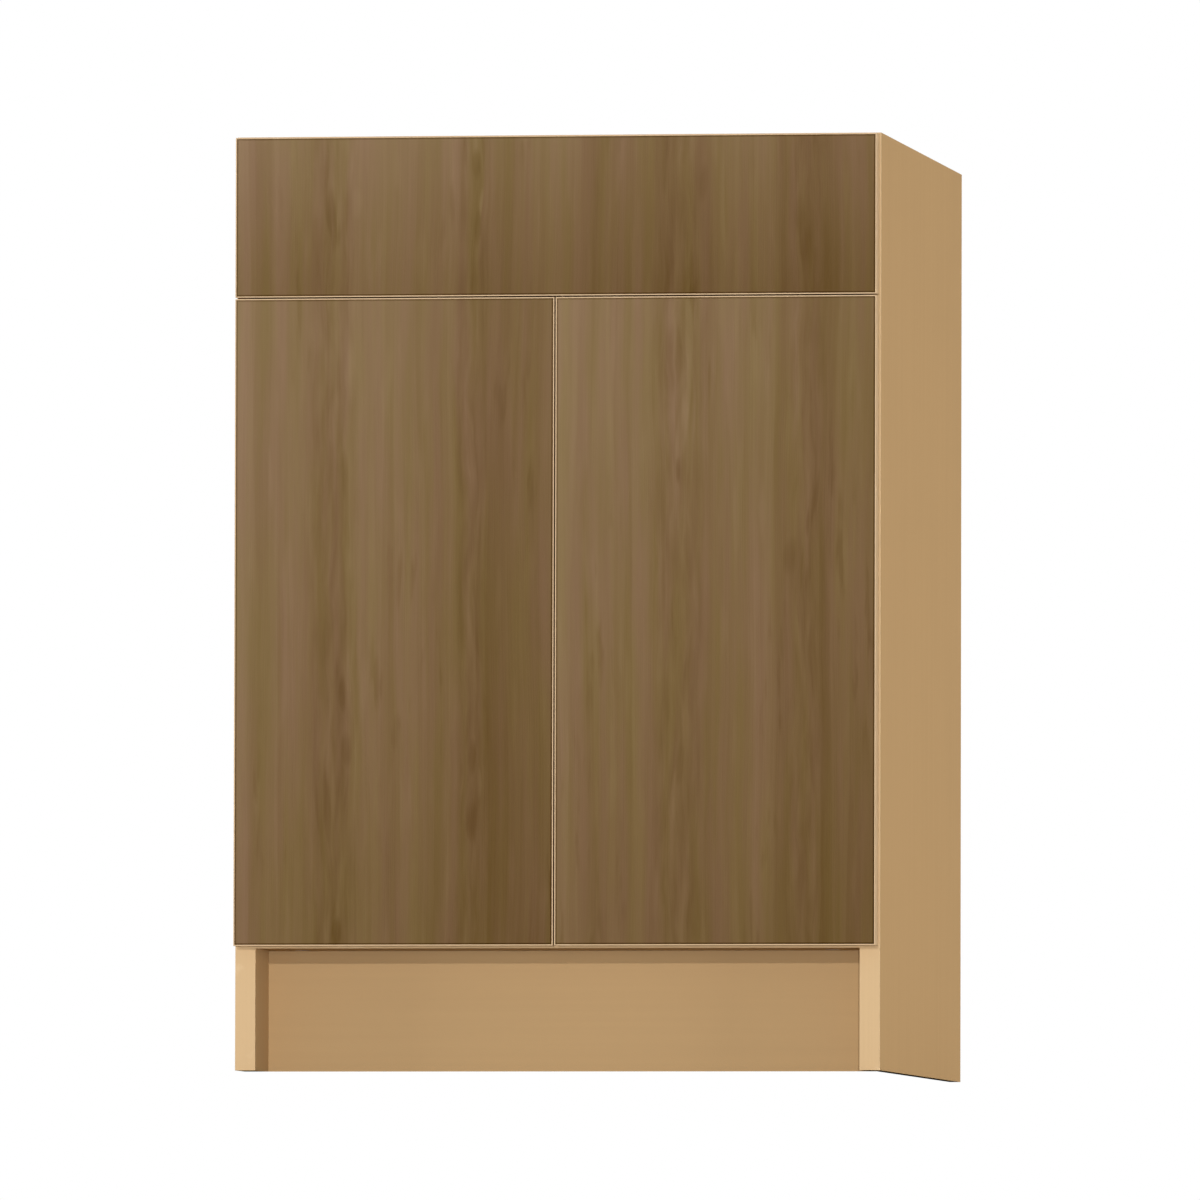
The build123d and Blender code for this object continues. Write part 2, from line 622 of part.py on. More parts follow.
def hinge_lever():
    """Goose-neck lever from the arm to the cup."""
    eyes = disc(ARM_PIVOT, PIN_RADIUS + PIN_FIT) + disc(DOOR_PIVOT, PIN_RADIUS + PIN_FIT)
    outline = lever_outline(ARM_PIVOT, DOOR_PIVOT, LEVER_BULGE, LEVER_THICKNESS) - eyes
    return layer(outline, -LEVER_WIDTH / 2, LEVER_WIDTH / 2)


def guide_levers():
    """Pair of side levers that turn in the cup and whose riveted pins run in the arm's slots."""
    outline = lever_outline(GUIDE_PIVOT, GUIDE_PIN, GUIDE_BULGE, GUIDE_STRIP)
    outline -= disc(GUIDE_PIVOT, PIN_RADIUS + PIN_FIT)
    upper, lower = both_layers(outline, GUIDE_INNER, GUIDE_OUTER)
    tip = CHEEK_OUTER + LAYER_GAP
    upper += upright_pin(GUIDE_PIN, GUIDE_OUTER, tip)
    lower += upright_pin(GUIDE_PIN, -tip, -GUIDE_OUTER)
    return [upper, lower]


def hinge_arm():
    """Channel arm with two ears that carry the lever's pin and the guide slots."""
    end = slot_end()
    slot_half = PIN_RADIUS + SLOT_CLEARANCE
    neck = (ARM_WEB_U + CHEEK - ARM_NECK_RADIUS, -ARM_NECK_BACK)
    rounds = ((ARM_PIVOT, ARM_EAR_RADIUS), (neck, ARM_NECK_RADIUS), (GUIDE_PIN, slot_half + SLOT_REST_WALL),
              (end, slot_half + SLOT_FRONT_WALL))
    ear = make_hull([edge for point, radius in rounds for edge in disc(point, radius).edges()])
    slot_line = Line(plan(*GUIDE_PIN), plan(*end))
    slot = trace(slot_line, line_width=2 * slot_half) + disc(GUIDE_PIN, slot_half) + disc(end, slot_half)
    ear -= slot + disc(ARM_PIVOT, PIN_RADIUS + PIN_FIT)
    arm = Part() + both_layers(ear, CHEEK_INNER, CHEEK_OUTER)
    rear = plan(ARM_WEB_U + CHEEK - ARM_CHEEK_DEPTH, -ARM_REAR_BACK)
    front = plan(ARM_WEB_U + CHEEK, -ARM_NECK_BACK)
    channel = block((rear.X, front.X), (front.Y, rear.Y), (-CHEEK_OUTER, CHEEK_OUTER))
    hollow = block((rear.X, front.X - CHEEK), (front.Y, rear.Y), (-CHEEK_INNER, CHEEK_INNER))
    screw = plan(ARM_WEB_U, -ARM_SCREW_BACK)
    screw_hole = rod((screw.X, screw.Y, 0), (1, 0, 0), ARM_SCREW_RADIUS, CHEEK)
    return arm + (channel - hollow) - screw_hole


def hinge_plate():
    """Mounting plate screwed to the side panel, with the rail that the arm sits on."""
    inner = plan(BOARD, 0).X
    top = plan(ARM_WEB_U, 0).X
    depth = (plan(0, -PLATE_FRONT_BACK).Y, plan(0, -PLATE_REAR_BACK).Y)
    half = CHEEK_INNER - LAYER_GAP / 2
    wing_y = plan(0, -PLATE_SCREW_BACK).Y
    wing_half = PLATE_WING_WIDTH / 2
    wing = block((inner, inner + PLATE_BASE), (wing_y - wing_half, wing_y + wing_half),
                 (-PLATE_WING_LENGTH / 2, PLATE_WING_LENGTH / 2))
    wing = fillet(wing.edges().filter_by(Axis.X), PLATE_ROUND)
    rail = block((inner, top), depth, (-half, half))
    holes = [rod((inner, wing_y, side * PLATE_SCREW_SPACING / 2), (1, 0, 0), SCREW_RADIUS, PLATE_BASE)
             for side in (-1, 1)]
    screw = plan(ARM_WEB_U, -ARM_SCREW_BACK)
    screw_depth = ARM_SCREW_LENGTH + HOLE_END_CLEARANCE
    holes.append(rod((screw.X, screw.Y, 0), (-1, 0, 0), ARM_SCREW_RADIUS, screw_depth))
    return wing + rail - holes


def hinge_arm_screw():
    """Screw that clamps the arm to its plate."""
    seat = plan(ARM_WEB_U + CHEEK, -ARM_SCREW_BACK)
    return pan_screw((seat.X, seat.Y, 0), (-1, 0, 0), ARM_SCREW_RADIUS, ARM_SCREW_LENGTH + CHEEK,
                     ARM_SCREW_HEAD_RADIUS)


def cup_pin_half(point):
    """Half length of a pin whose ends sit in the cup's round wall."""
    middle = CUP_RADIUS - CUP_WALL / 2
    return math.sqrt(middle ** 2 - (point[0] - CUP_U) ** 2)


def cup_screw_plan():
    """Plan place of the cup's screws at the door's back."""
    return plan(CUP_U + CUP_SCREW_OFFSET, FRONT_GAP - FLANGE_THICKNESS)


def hinge_cup():
    """Round cup let into the door, with a flange for two screws and holes for the pivot pins."""
    rim = plan(CUP_U, FRONT_GAP)
    mouth = (rim.X, rim.Y + FLANGE_THICKNESS, 0)
    body = rod(mouth, (0, -1, 0), CUP_RADIUS, FLANGE_THICKNESS + CUP_DEPTH)
    hollow = rod(mouth, (0, -1, 0), CUP_RADIUS - CUP_WALL, FLANGE_THICKNESS + CUP_DEPTH - CUP_FLOOR)
    ear = block((rim.X, rim.X + 2 * CUP_SCREW_OFFSET), (rim.Y, rim.Y + FLANGE_THICKNESS),
                (-FLANGE_LENGTH / 2, FLANGE_LENGTH / 2))
    ear = fillet(ear.edges().filter_by(Axis.Y), FLANGE_ROUND)
    screw_x = cup_screw_plan().X
    half = CUP_SCREW_SPACING / 2
    holes = [rod((screw_x, rim.Y, z), BACKWARD, CUP_SCREW_RADIUS, FLANGE_THICKNESS) for z in (-half, half)]
    for point in (DOOR_PIVOT, GUIDE_PIVOT):
        reach = cup_pin_half(point)
        centre = plan(*point)
        holes.append(rod((centre.X, centre.Y, -reach), (0, 0, 1), PIN_RADIUS + PIN_FIT, 2 * reach))
    return body + ear - hollow - holes


def cup_pins():
    """One long pin for the lever and two short ones for the guide levers."""
    long_reach = cup_pin_half(DOOR_PIVOT)
    short_reach = cup_pin_half(GUIDE_PIVOT)
    inner = LEVER_WIDTH / 2 + LAYER_GAP / 2
    return [upright_pin(DOOR_PIVOT, -long_reach, long_reach), upright_pin(GUIDE_PIVOT, inner, short_reach),
            upright_pin(GUIDE_PIVOT, -short_reach, -inner)]


def cup_screws():
    """Two screws that hold the cup's flange to the door."""
    seat = cup_screw_plan()
    return [pan_screw((seat.X, seat.Y, side * CUP_SCREW_SPACING / 2), (0, -1, 0), CUP_SCREW_RADIUS,
                      CUP_SCREW_LENGTH, CUP_SCREW_HEAD_RADIUS) for side in (-1, 1)]


def make_hinges():
    """Two concealed hinges a side."""
    groups = {"hinge_plates": [hinge_plate()], "hinge_arms": [hinge_arm()], "hinge_levers": [hinge_lever()],
              "guide_levers": guide_levers(), "hinge_cups": [hinge_cup()], "cup_pins": cup_pins(),
              "cup_screws": cup_screws()}
    for name, pieces in groups.items():
        left = at_hinges(pieces)
        save(f"left_{name}", left)
        save(f"right_{name}", mirrored(left))
    arm_pins = at_hinges([upright_pin(ARM_PIVOT, -CHEEK_OUTER, CHEEK_OUTER)])
    save("hinge_arm_pins", arm_pins + mirrored(arm_pins))


def front_pieces(x, z):
    """Core, bevelled face and edge bands of one slab front."""
    front = FRONT_BACK - FRONT_THICKNESS
    core_front = front + FACE_THICKNESS
    inner_x = (x[0] + BAND, x[1] - BAND)
    inner_z = (z[0] + BAND, z[1] - BAND)
    core = block(inner_x, (core_front, FRONT_BACK), inner_z)
    face = block(inner_x, (front, core_front), inner_z)
    outer = face.faces().sort_by(Axis.Y)[0]
    face = chamfer(outer.edges(), FACE_BEVEL_WIDTH, FACE_BEVEL_DEPTH, reference=outer)
    depth = (front, FRONT_BACK)
    uprights = [block(limits, depth, z) for limits in ((x[0], inner_x[0]), (inner_x[1], x[1]))]
    levels = [block(inner_x, depth, limits) for limits in ((z[0], inner_z[0]), (inner_z[1], z[1]))]
    return core, face, uprights + levels


def cup_drilling():
    """Cup bores and screw holes in the left door's back."""
    rim = plan(CUP_U, FRONT_GAP)
    screw_x = cup_screw_plan().X
    cutters = []
    for z in HINGE_HEIGHTS:
        cutters.append(rod((rim.X, rim.Y, z), (0, -1, 0), CUP_RADIUS + CUP_FIT, CUP_DEPTH + CUP_FIT))
        for side in (-1, 1):
            screw_z = z + side * CUP_SCREW_SPACING / 2
            cutters.append(rod((screw_x, rim.Y, screw_z), (0, -1, 0), CUP_SCREW_RADIUS, CUP_SCREW_LENGTH))
    return cutters


def make_doors():
    """Pair of slab doors."""
    core, face, bands = front_pieces((-DOOR_OUTER, -DOOR_INNER), (DOOR_BOTTOM, DOOR_TOP))
    pieces = {"core": [core - cup_drilling()], "face": [face], "edge_bands": bands}
    for name, shapes in pieces.items():
        save(f"left_door_{name}", shapes)
        save(f"right_door_{name}", mirrored(shapes))


def front_screw_places():
    """X and Z of the screws that hold the drawer front to its box."""
    half_x = FRONT_SCREW_SPACING_X / 2
    half_z = FRONT_SCREW_SPACING_Z / 2
    return [(side * half_x, SLIDE_Z + level * half_z) for side in (-1, 1) for level in (-1, 1)]


def make_drawer_front():
    """Slab drawer front drilled for the screws from its box."""
    core, face, bands = front_pieces((-DOOR_OUTER, DOOR_OUTER), (DRAWER_FRONT_BOTTOM, DRAWER_FRONT_TOP))
    holes = [rod((x, FRONT_BACK, z), (0, -1, 0), FRONT_SCREW_RADIUS, FRONT_SCREW_BITE + HOLE_END_CLEARANCE)
             for x, z in front_screw_places()]
    save("drawer_front_core", [core - holes])
    save("drawer_front_face", [face])
    save("drawer_front_edge_bands", bands)


def drawer_dowel_places():
    """Y and Z of the dowels in the drawer box's corners."""
    levels = (BOX_Z + DRAWER_DOWEL_LOW, BOX_Z + DRAWER_DOWEL_HIGH)
    return [(y, z) for y in (FRONT_BACK + DRAWER_BOARD / 2, BOX_REAR - DRAWER_BOARD / 2) for z in levels]


def drawer_dowels(clearance, end_room):
    """Left-hand corner dowels, or the holes for them when the clearance is zero and the ends have room."""
    start = -BOX_HALF + DRAWER_BOARD - DRAWER_DOWEL_IN_SIDE - end_room
    length = DRAWER_DOWEL_IN_SIDE + DRAWER_DOWEL_IN_END + 2 * end_room
    radius = DRAWER_DOWEL_RADIUS - clearance
    return [rod((start, y, z), (1, 0, 0), radius, length) for y, z in drawer_dowel_places()]


def make_drawer_box():
    """Drawer box with a bottom in grooves all round."""
    z = (BOX_Z, BOX_Z + DRAWER_BOX_HEIGHT)
    groove_z = (BOX_Z + DRAWER_GROOVE_Z, BOX_Z + DRAWER_GROOVE_Z + DRAWER_BOTTOM)
    inner = BOX_HALF - DRAWER_BOARD
    front = FRONT_BACK + DRAWER_BOARD
    rear = BOX_REAR - DRAWER_BOARD
    groove_x = (-inner - DRAWER_GROOVE, inner + DRAWER_GROOVE)
    groove = block(groove_x, (front - DRAWER_GROOVE, rear + DRAWER_GROOVE), groove_z)
    holes = drawer_dowels(0, HOLE_END_CLEARANCE)
    holes += mirrored(holes)
    screw_holes = [rod((x, FRONT_BACK, z), BACKWARD, FRONT_SCREW_RADIUS, DRAWER_BOARD)
                   for x, z in front_screw_places()]
    slide_holes = [rod((-BOX_HALF, y, SLIDE_Z), (1, 0, 0), SCREW_RADIUS, SCREW_LENGTH + HOLE_END_CLEARANCE)
                   for y in slide_screw_places()]
    side = block((-BOX_HALF, -inner), (FRONT_BACK, BOX_REAR), z) - [groove] - holes - slide_holes
    save("drawer_side_left", [side])
    save("drawer_side_right", mirrored([side]))
    box_front = block((-inner, inner), (FRONT_BACK, front), z)
    save("drawer_box_front", [box_front - [groove] - holes - screw_holes])
    save("drawer_box_back", [block((-inner, inner), (rear, BOX_REAR), z) - [groove] - holes])
    reach = DRAWER_GROOVE - GROOVE_CLEARANCE
    save("drawer_bottom", [block((-inner - reach, inner + reach), (front - reach, rear + reach), groove_z)])
    dowels = drawer_dowels(PRESS_CLEARANCE, 0)
    save("drawer_dowels", dowels + mirrored(dowels))


def make_drawer_screws():
    """Screws through the box into the drawer front, and screws that hold the inner slide members."""
    front = FRONT_BACK + DRAWER_BOARD
    screws = [pan_screw((x, front, z), (0, -1, 0), FRONT_SCREW_RADIUS, DRAWER_BOARD + FRONT_SCREW_BITE,
                        SCREW_HEAD_RADIUS) for x, z in front_screw_places()]
    outside = -BOX_HALF - SLIDE_WALL
    slide = [pan_screw((outside, y, SLIDE_Z), (1, 0, 0), SCREW_RADIUS, SLIDE_WALL + SCREW_LENGTH,
                       SCREW_HEAD_RADIUS) for y in slide_screw_places()]
    save("drawer_screws", screws + slide + mirrored(slide))


def slide_member(web, lip, half):
    """Left-hand channel member: its web and lip are distances from the side panel, half its half height."""
    low, high = min(web[0], lip), max(web[1], lip)
    depth = (SLIDE_FRONT, BOX_REAR)
    body = block((-INNER + low, -INNER + high), depth, (SLIDE_Z - half, SLIDE_Z + half))
    inside = (web[1], high) if lip > web[1] else (low, web[0])
    hollow = block((-INNER + inside[0], -INNER + inside[1]), depth,
                   (SLIDE_Z - half + SLIDE_WALL, SLIDE_Z + half - SLIDE_WALL))
    return body - hollow


def make_slides():
    """Three-member slides with their balls, one a side."""
    race = 2 * (BALL_RADIUS + BALL_FIT)
    outer_half = SLIDE_HEIGHT / 2
    middle_half = outer_half - SLIDE_WALL - race
    inner_half = middle_half - SLIDE_WALL - race
    inner_web = SLIDE_THICKNESS - SLIDE_WALL
    screw_places = slide_screw_places()
    outer = slide_member((0, SLIDE_WALL), SLIDE_OUTER_LIP, outer_half)
    outer -= [rod((-INNER, y, SLIDE_Z), (1, 0, 0), SCREW_RADIUS, SLIDE_WALL) for y in screw_places]
    middle = slide_member((SLIDE_MIDDLE_WEB, SLIDE_MIDDLE_WEB + SLIDE_WALL), SLIDE_MIDDLE_LIP, middle_half)
    inner = slide_member((inner_web, SLIDE_THICKNESS), SLIDE_INNER_LIP, inner_half)
    inner -= [rod((-BOX_HALF, y, SLIDE_Z), (-1, 0, 0), SCREW_RADIUS, SLIDE_WALL) for y in screw_places]
    outer_across = (SLIDE_MIDDLE_WEB + SLIDE_OUTER_LIP) / 2
    inner_across = (SLIDE_INNER_LIP + SLIDE_MIDDLE_LIP) / 2
    outer_race = (outer_across, middle_half + race / 2, BOX_REAR - BALL_PITCH, -1)
    inner_race = (inner_across, inner_half + race / 2, SLIDE_FRONT + BALL_PITCH, 1)
    balls = []
    for across, height, start, way in (outer_race, inner_race):
        for index in range(BALL_COUNT):
            for side in (-1, 1):
                place = Pos(-INNER + across, start + way * index * BALL_PITCH, SLIDE_Z + side * height)
                balls.append(place * Sphere(BALL_RADIUS))
    for name, shapes in {"outer": [outer], "middle": [middle], "inner": [inner], "balls": balls}.items():
        save(f"left_slide_{name}", shapes)
        save(f"right_slide_{name}", mirrored(shapes))


def main():
    """Write every piece of the cabinet."""
    os.makedirs("parts", exist_ok=True)
    make_side_panels()
    make_carcass_boards()
    make_edge_bands()
    make_shelf()
    make_fixings()
    make_hardware_screws()
    make_latches()
    make_hinges()
    make_doors()
    make_drawer_front()
    make_drawer_box()
    make_drawer_screws()
    make_slides()


main()
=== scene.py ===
"""Looks of a kitchen base cabinet: its finishes, its formed steel details, the studio and the camera."""

import logging
import math
from abc import ABC, abstractmethod
from dataclasses import dataclass
from enum import Enum
from typing import Any, Iterable, Optional, Sequence, Union

import bpy
import numpy as np
from mathutils import Matrix, Vector


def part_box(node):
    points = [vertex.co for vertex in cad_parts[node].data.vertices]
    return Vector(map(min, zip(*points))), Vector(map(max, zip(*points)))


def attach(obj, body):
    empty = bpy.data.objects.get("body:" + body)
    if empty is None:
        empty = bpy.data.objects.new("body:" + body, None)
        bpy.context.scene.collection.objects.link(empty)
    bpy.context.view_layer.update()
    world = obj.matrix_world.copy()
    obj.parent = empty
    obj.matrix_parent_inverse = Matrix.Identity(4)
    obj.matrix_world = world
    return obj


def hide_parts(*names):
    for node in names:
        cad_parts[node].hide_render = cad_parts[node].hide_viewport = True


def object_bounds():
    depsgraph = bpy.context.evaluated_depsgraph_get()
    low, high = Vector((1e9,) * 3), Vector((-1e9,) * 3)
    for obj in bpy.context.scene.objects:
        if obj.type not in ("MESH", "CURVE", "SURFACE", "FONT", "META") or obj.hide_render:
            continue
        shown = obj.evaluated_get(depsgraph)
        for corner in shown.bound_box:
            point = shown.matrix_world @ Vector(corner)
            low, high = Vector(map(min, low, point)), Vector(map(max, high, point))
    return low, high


LOG = logging.getLogger("cabinet")
MM = 0.001
WHITE = (1.0, 1.0, 1.0)
# Light goes up as about this power of the tone that the eye sees.
EYE_POWER = 2.2
# A surface looks along an axis where the cosine between the two is above this.
LOOKING = 0.5
# The rays that show a surface to the camera: straight, in metal or through glass.
SEEN_RAYS = ("Is Camera Ray", "Is Glossy Ray", "Is Transmission Ray")
# Points on each round of a profile, and the turn in degrees above which an edge stays sharp.
ARC_POINTS = 7
SHARP_DEGREES = 32.0

Colour = tuple[float, float, float]
Levels = tuple[float, float]
Number = Union["Signal", float]
Shade = Union["Signal", Colour]
Sockets = dict[Union[int, str], Any]

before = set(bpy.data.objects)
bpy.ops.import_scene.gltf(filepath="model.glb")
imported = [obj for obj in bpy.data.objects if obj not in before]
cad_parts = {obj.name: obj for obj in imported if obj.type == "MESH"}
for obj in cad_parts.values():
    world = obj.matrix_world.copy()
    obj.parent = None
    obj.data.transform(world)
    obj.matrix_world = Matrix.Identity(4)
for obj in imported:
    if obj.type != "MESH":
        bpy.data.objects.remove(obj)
CAD_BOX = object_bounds()


class Axis(Enum):
    """The object's axes, by their place in a vector."""

    ACROSS = 0
    DEEP = 1
    UP = 2


class Side(Enum):
    """The cabinet's sides, as node names have them."""

    LEFT = "left"
    RIGHT = "right"


def srgb(red: float, green: float, blue: float) -> Colour:
    """Linear colour of an sRGB colour given in 0 to 255.

    Args:
        red: Red level.
        green: Green level.
        blue: Blue level.

    Returns:
        The linear red, green and blue from 0 to 1.
    """
    levels = np.array((red, green, blue)) / 255
    linear = np.where(levels <= 0.04045, levels / 12.92, ((levels + 0.055) / 1.055) ** 2.4)
    return tuple(float(level) for level in linear)


class Signal:
    """A node's output socket that takes part in Python expressions, each of which adds a Math node."""

    def __init__(self, shader: "Shader", socket: bpy.types.NodeSocket) -> None:
        """Wrap a socket of a shader's tree."""
        self.shader = shader
        self.socket = socket

    def math(self, operation: str, *others: Number) -> "Signal":
        """Result of a Math node on this signal and the operands after it."""
        return self.shader.node("Math", {"operation": operation}, dict(enumerate((self, *others))))

    def __add__(self, other: Number) -> "Signal":
        """This plus other."""
        return self.math("ADD", other)

    __radd__ = __add__

    def __sub__(self, other: Number) -> "Signal":
        """This minus other."""
        return self.math("SUBTRACT", other)

    def __rsub__(self, other: float) -> "Signal":
        """Other minus this."""
        return self.math("MULTIPLY_ADD", -1.0, other)

    def __mul__(self, other: Number) -> "Signal":
        """This times other."""
        return self.math("MULTIPLY", other)

    __rmul__ = __mul__

    def __truediv__(self, other: Number) -> "Signal":
        """This over other."""
        return self.math("DIVIDE", other)

    def __pow__(self, power: float) -> "Signal":
        """This to a power."""
        return self.math("POWER", power)

    def __abs__(self) -> "Signal":
        """Size of this without its sign."""
        return self.math("ABSOLUTE")

    def __gt__(self, level: float) -> "Signal":
        """1 where this is above a level, else 0."""
        return self.math("GREATER_THAN", level)

    def __lt__(self, level: float) -> "Signal":
        """1 where this is below a level, else 0."""
        return self.math("LESS_THAN", level)

    def larger(self, other: Number) -> "Signal":
        """The larger of two signals."""
        return self.math("MAXIMUM", other)

    def fraction(self) -> "Signal":
        """What is left above the whole number."""
        return self.math("FRACT")

    def smooth(self, start: float, end: float, low: float = 0.0, high: float = 1.0) -> "Signal":
        """Smooth step that goes from low to high while this goes from start to end."""
        return self.shader.node("MapRange", {"interpolation_type": "SMOOTHSTEP"},
                                {0: self, 1: start, 2: end, 3: low, 4: high})


@dataclass(frozen=True)
class Skin:
    """Roughness, depth of relief in metres, share of metal and level of the mirror part of a surface."""

    roughness: float
    relief: float
    metallic: float = 0.0
    specular: float = 0.5


class Shader:
    """The node tree of a material or of the world."""

    def __init__(self, owner: Union[bpy.types.Material, bpy.types.World]) -> None:
        """Start an empty tree."""
        owner.use_nodes = True
        self.tree = owner.node_tree
        self.tree.nodes.clear()

    def add(self, kind: str, settings: Optional[dict[str, Any]] = None,
            inputs: Optional[Sockets] = None) -> bpy.types.Node:
        """Add a node.

        Args:
            kind: The node's type, without ShaderNode.
            settings: The node's own properties.
            inputs: Values or signals for its sockets.

        Returns:
            The node.
        """
        made = self.tree.nodes.new("ShaderNode" + kind)
        for key, value in (settings or {}).items():
            setattr(made, key, value)
        for key, value in (inputs or {}).items():
            socket = made.inputs[key]
            if isinstance(value, Signal):
                self.tree.links.new(value.socket, socket)
            else:
                socket.default_value = (*value, 1.0) if socket.type == "RGBA" else value
        return made

    def node(self, kind: str, settings: Optional[dict[str, Any]] = None,
             inputs: Optional[Sockets] = None, output: Union[int, str] = 0) -> Signal:
        """Add a node as add does, and take one of its outputs."""
        return Signal(self, self.add(kind, settings, inputs).outputs[output])

    def ramp(self, place: Signal, stops: Sequence[tuple[float, Colour]], blend: str) -> Signal:
        """Colour of a place from 0 to 1 on a ramp.

        Args:
            place: The place.
            stops: Places in rising order, each with its colour.
            blend: How the colour goes from stop to stop.

        Returns:
            The colour.
        """
        made = self.add("ValToRGB", inputs={0: place})
        made.color_ramp.interpolation = blend
        for at, _ in stops[2:]:
            made.color_ramp.elements.new(at)
        for element, (at, colour) in zip(made.color_ramp.elements, stops):
            element.position = at
            element.color = (*colour, 1.0)
        return Signal(self, made.outputs[0])

    def place(self) -> Signal:
        """Object coordinates in metres."""
        return self.node("TexCoord", output="Object")

    def part(self, vector: Signal, axis: Axis) -> Signal:
        """A vector's part along an axis."""
        return self.node("SeparateXYZ", inputs={0: vector}, output=axis.value)

    def axes(self) -> list[Signal]:
        """Object coordinates in metres, one signal an axis."""
        return [self.part(self.place(), axis) for axis in Axis]

    def facing(self, axis: Axis) -> Signal:
        """How far the surface faces along one of the object's axes, from -1 to 1."""
        return self.part(self.node("TexCoord", output="Normal"), axis)

    def looks(self, axis: Axis) -> Signal:
        """1 where the surface looks along an axis, either way, else 0."""
        return abs(self.facing(axis)) > LOOKING

    def stretched(self, waves: Sequence[float]) -> Signal:
        """Object coordinates in waves, from the waves a metre along each axis."""
        return self.node("VectorMath", {"operation": "MULTIPLY"}, {0: self.place(), 1: tuple(waves)})

    def noise(self, place: Signal, detail: float) -> Signal:
        """Noise at a place in waves, with finer layers by the detail: about 0, roughly from -0.5 to 0.5."""
        return self.node("TexNoise", inputs={"Vector": place, "Scale": 1.0, "Detail": detail}) - 0.5

    def cells(self, scale: float) -> tuple[Signal, Signal]:
        """Scattered cells.

        Args:
            scale: Cells a metre.

        Returns:
            The distance to the nearest cell's middle, and a level from 0 to 1 of that cell's own.
        """
        inputs = {"Vector": self.place(), "Scale": scale}
        distance = self.node("TexVoronoi", inputs=inputs)
        colour = self.node("TexVoronoi", inputs=inputs, output="Color")
        return distance, self.node("SeparateColor", inputs={0: colour})

    def mix(self, factor: Number, first: Shade, second: Shade) -> Signal:
        """Colour between two colours, the first one at 0 and the second at 1."""
        return self.node("Mix", {"data_type": "RGBA"}, {0: factor, 6: first, 7: second}, output=2)

    def scaled(self, colour: Shade, level: Signal) -> Signal:
        """Colour made lighter or darker by a level, where 1.1 is a tenth lighter to the eye."""
        light = level.larger(0.0) ** EYE_POWER
        return self.node("VectorMath", {"operation": "SCALE"}, {0: colour, "Scale": light})

    def seen(self) -> Signal:
        """Which rays show a surface to the camera.

        Returns:
            1 for those rays, 0 for the ones that only carry light.
        """
        seen, *others = [self.node("LightPath", output=ray) for ray in SEEN_RAYS]
        for other in others:
            seen = seen.larger(other)
        return seen

    def done(self, colour: Shade, roughen: Signal, relief: Signal, skin: Skin) -> None:
        """Close the tree with a surface.

        Args:
            colour: Base colour.
            roughen: What is added to the skin's roughness.
            relief: Height of the surface's relief, roughly from -0.5 to 0.5.
            skin: How the surface takes light.
        """
        normal = self.node("Bump", inputs={"Distance": skin.relief, "Height": relief})
        self.close(self.node("BsdfPrincipled", inputs={
            "Base Color": colour, "Roughness": roughen + skin.roughness, "Normal": normal,
            "Metallic": skin.metallic, "Specular IOR Level": skin.specular}))

    def close(self, surface: Signal, end: str = "OutputMaterial") -> None:
        """Link the surface to the tree's end."""
        self.add(end, inputs={"Surface": surface})


@dataclass(frozen=True)
class Noise:
    """Noise in a finish: waves a metre, finer layers, waves a metre along the grain where it has one,
    and what it adds to the tone and to the roughness."""

    waves: float
    detail: float
    long_waves: float = 0.0
    tone: float = 0.0
    roughen: float = 0.0

    def read(self, shader: Shader, along: Optional[Axis] = None) -> Signal:
        """The noise, about 0, drawn out along an axis where one is given."""
        waves = [self.long_waves if axis is along else self.waves for axis in Axis]
        return shader.noise(shader.stretched(waves), self.detail)


@dataclass(frozen=True)
class Layer:
    """A layer of the fronts' print: waves a metre across and up, its own cut of the noise, finer layers,
    its strength, the levels between which patches rise from 0 to 1, and what it adds to the roughness."""

    across: float
    up: float
    cut: float
    detail: float
    strength: float = 1.0
    rise: Optional[Levels] = None
    roughen: float = 0.0

    def read(self, across: Signal, up: Signal) -> Signal:
        """The layer at full strength.

        Args:
            across: Place across the front.
            up: Place up the front.

        Returns:
            The noise about 0, or the patches from 0 to 1.
        """
        waves = {0: across * self.across, 1: self.cut, 2: up * self.up}
        noise = across.shader.noise(across.shader.node("CombineXYZ", inputs=waves), self.detail)
        return noise.smooth(*self.rise) if self.rise else noise


@dataclass(frozen=True)
class Streak:
    """A stop of the fronts' upright figure: how much lighter or darker the print is at a place across."""

    across_mm: float
    tone: float


@dataclass(frozen=True)
class Fleck:
    """A small drawn-out knot or wisp of the print, with its middle, half sizes, lean and tone."""

    across_mm: float
    up_mm: float
    half_width_mm: float
    half_height_mm: float
    lean: float
    tone: float


@dataclass(frozen=True)
class Column:
    """An upright column of the print where the grain is crinkled."""

    across_mm: float
    half_width_mm: float


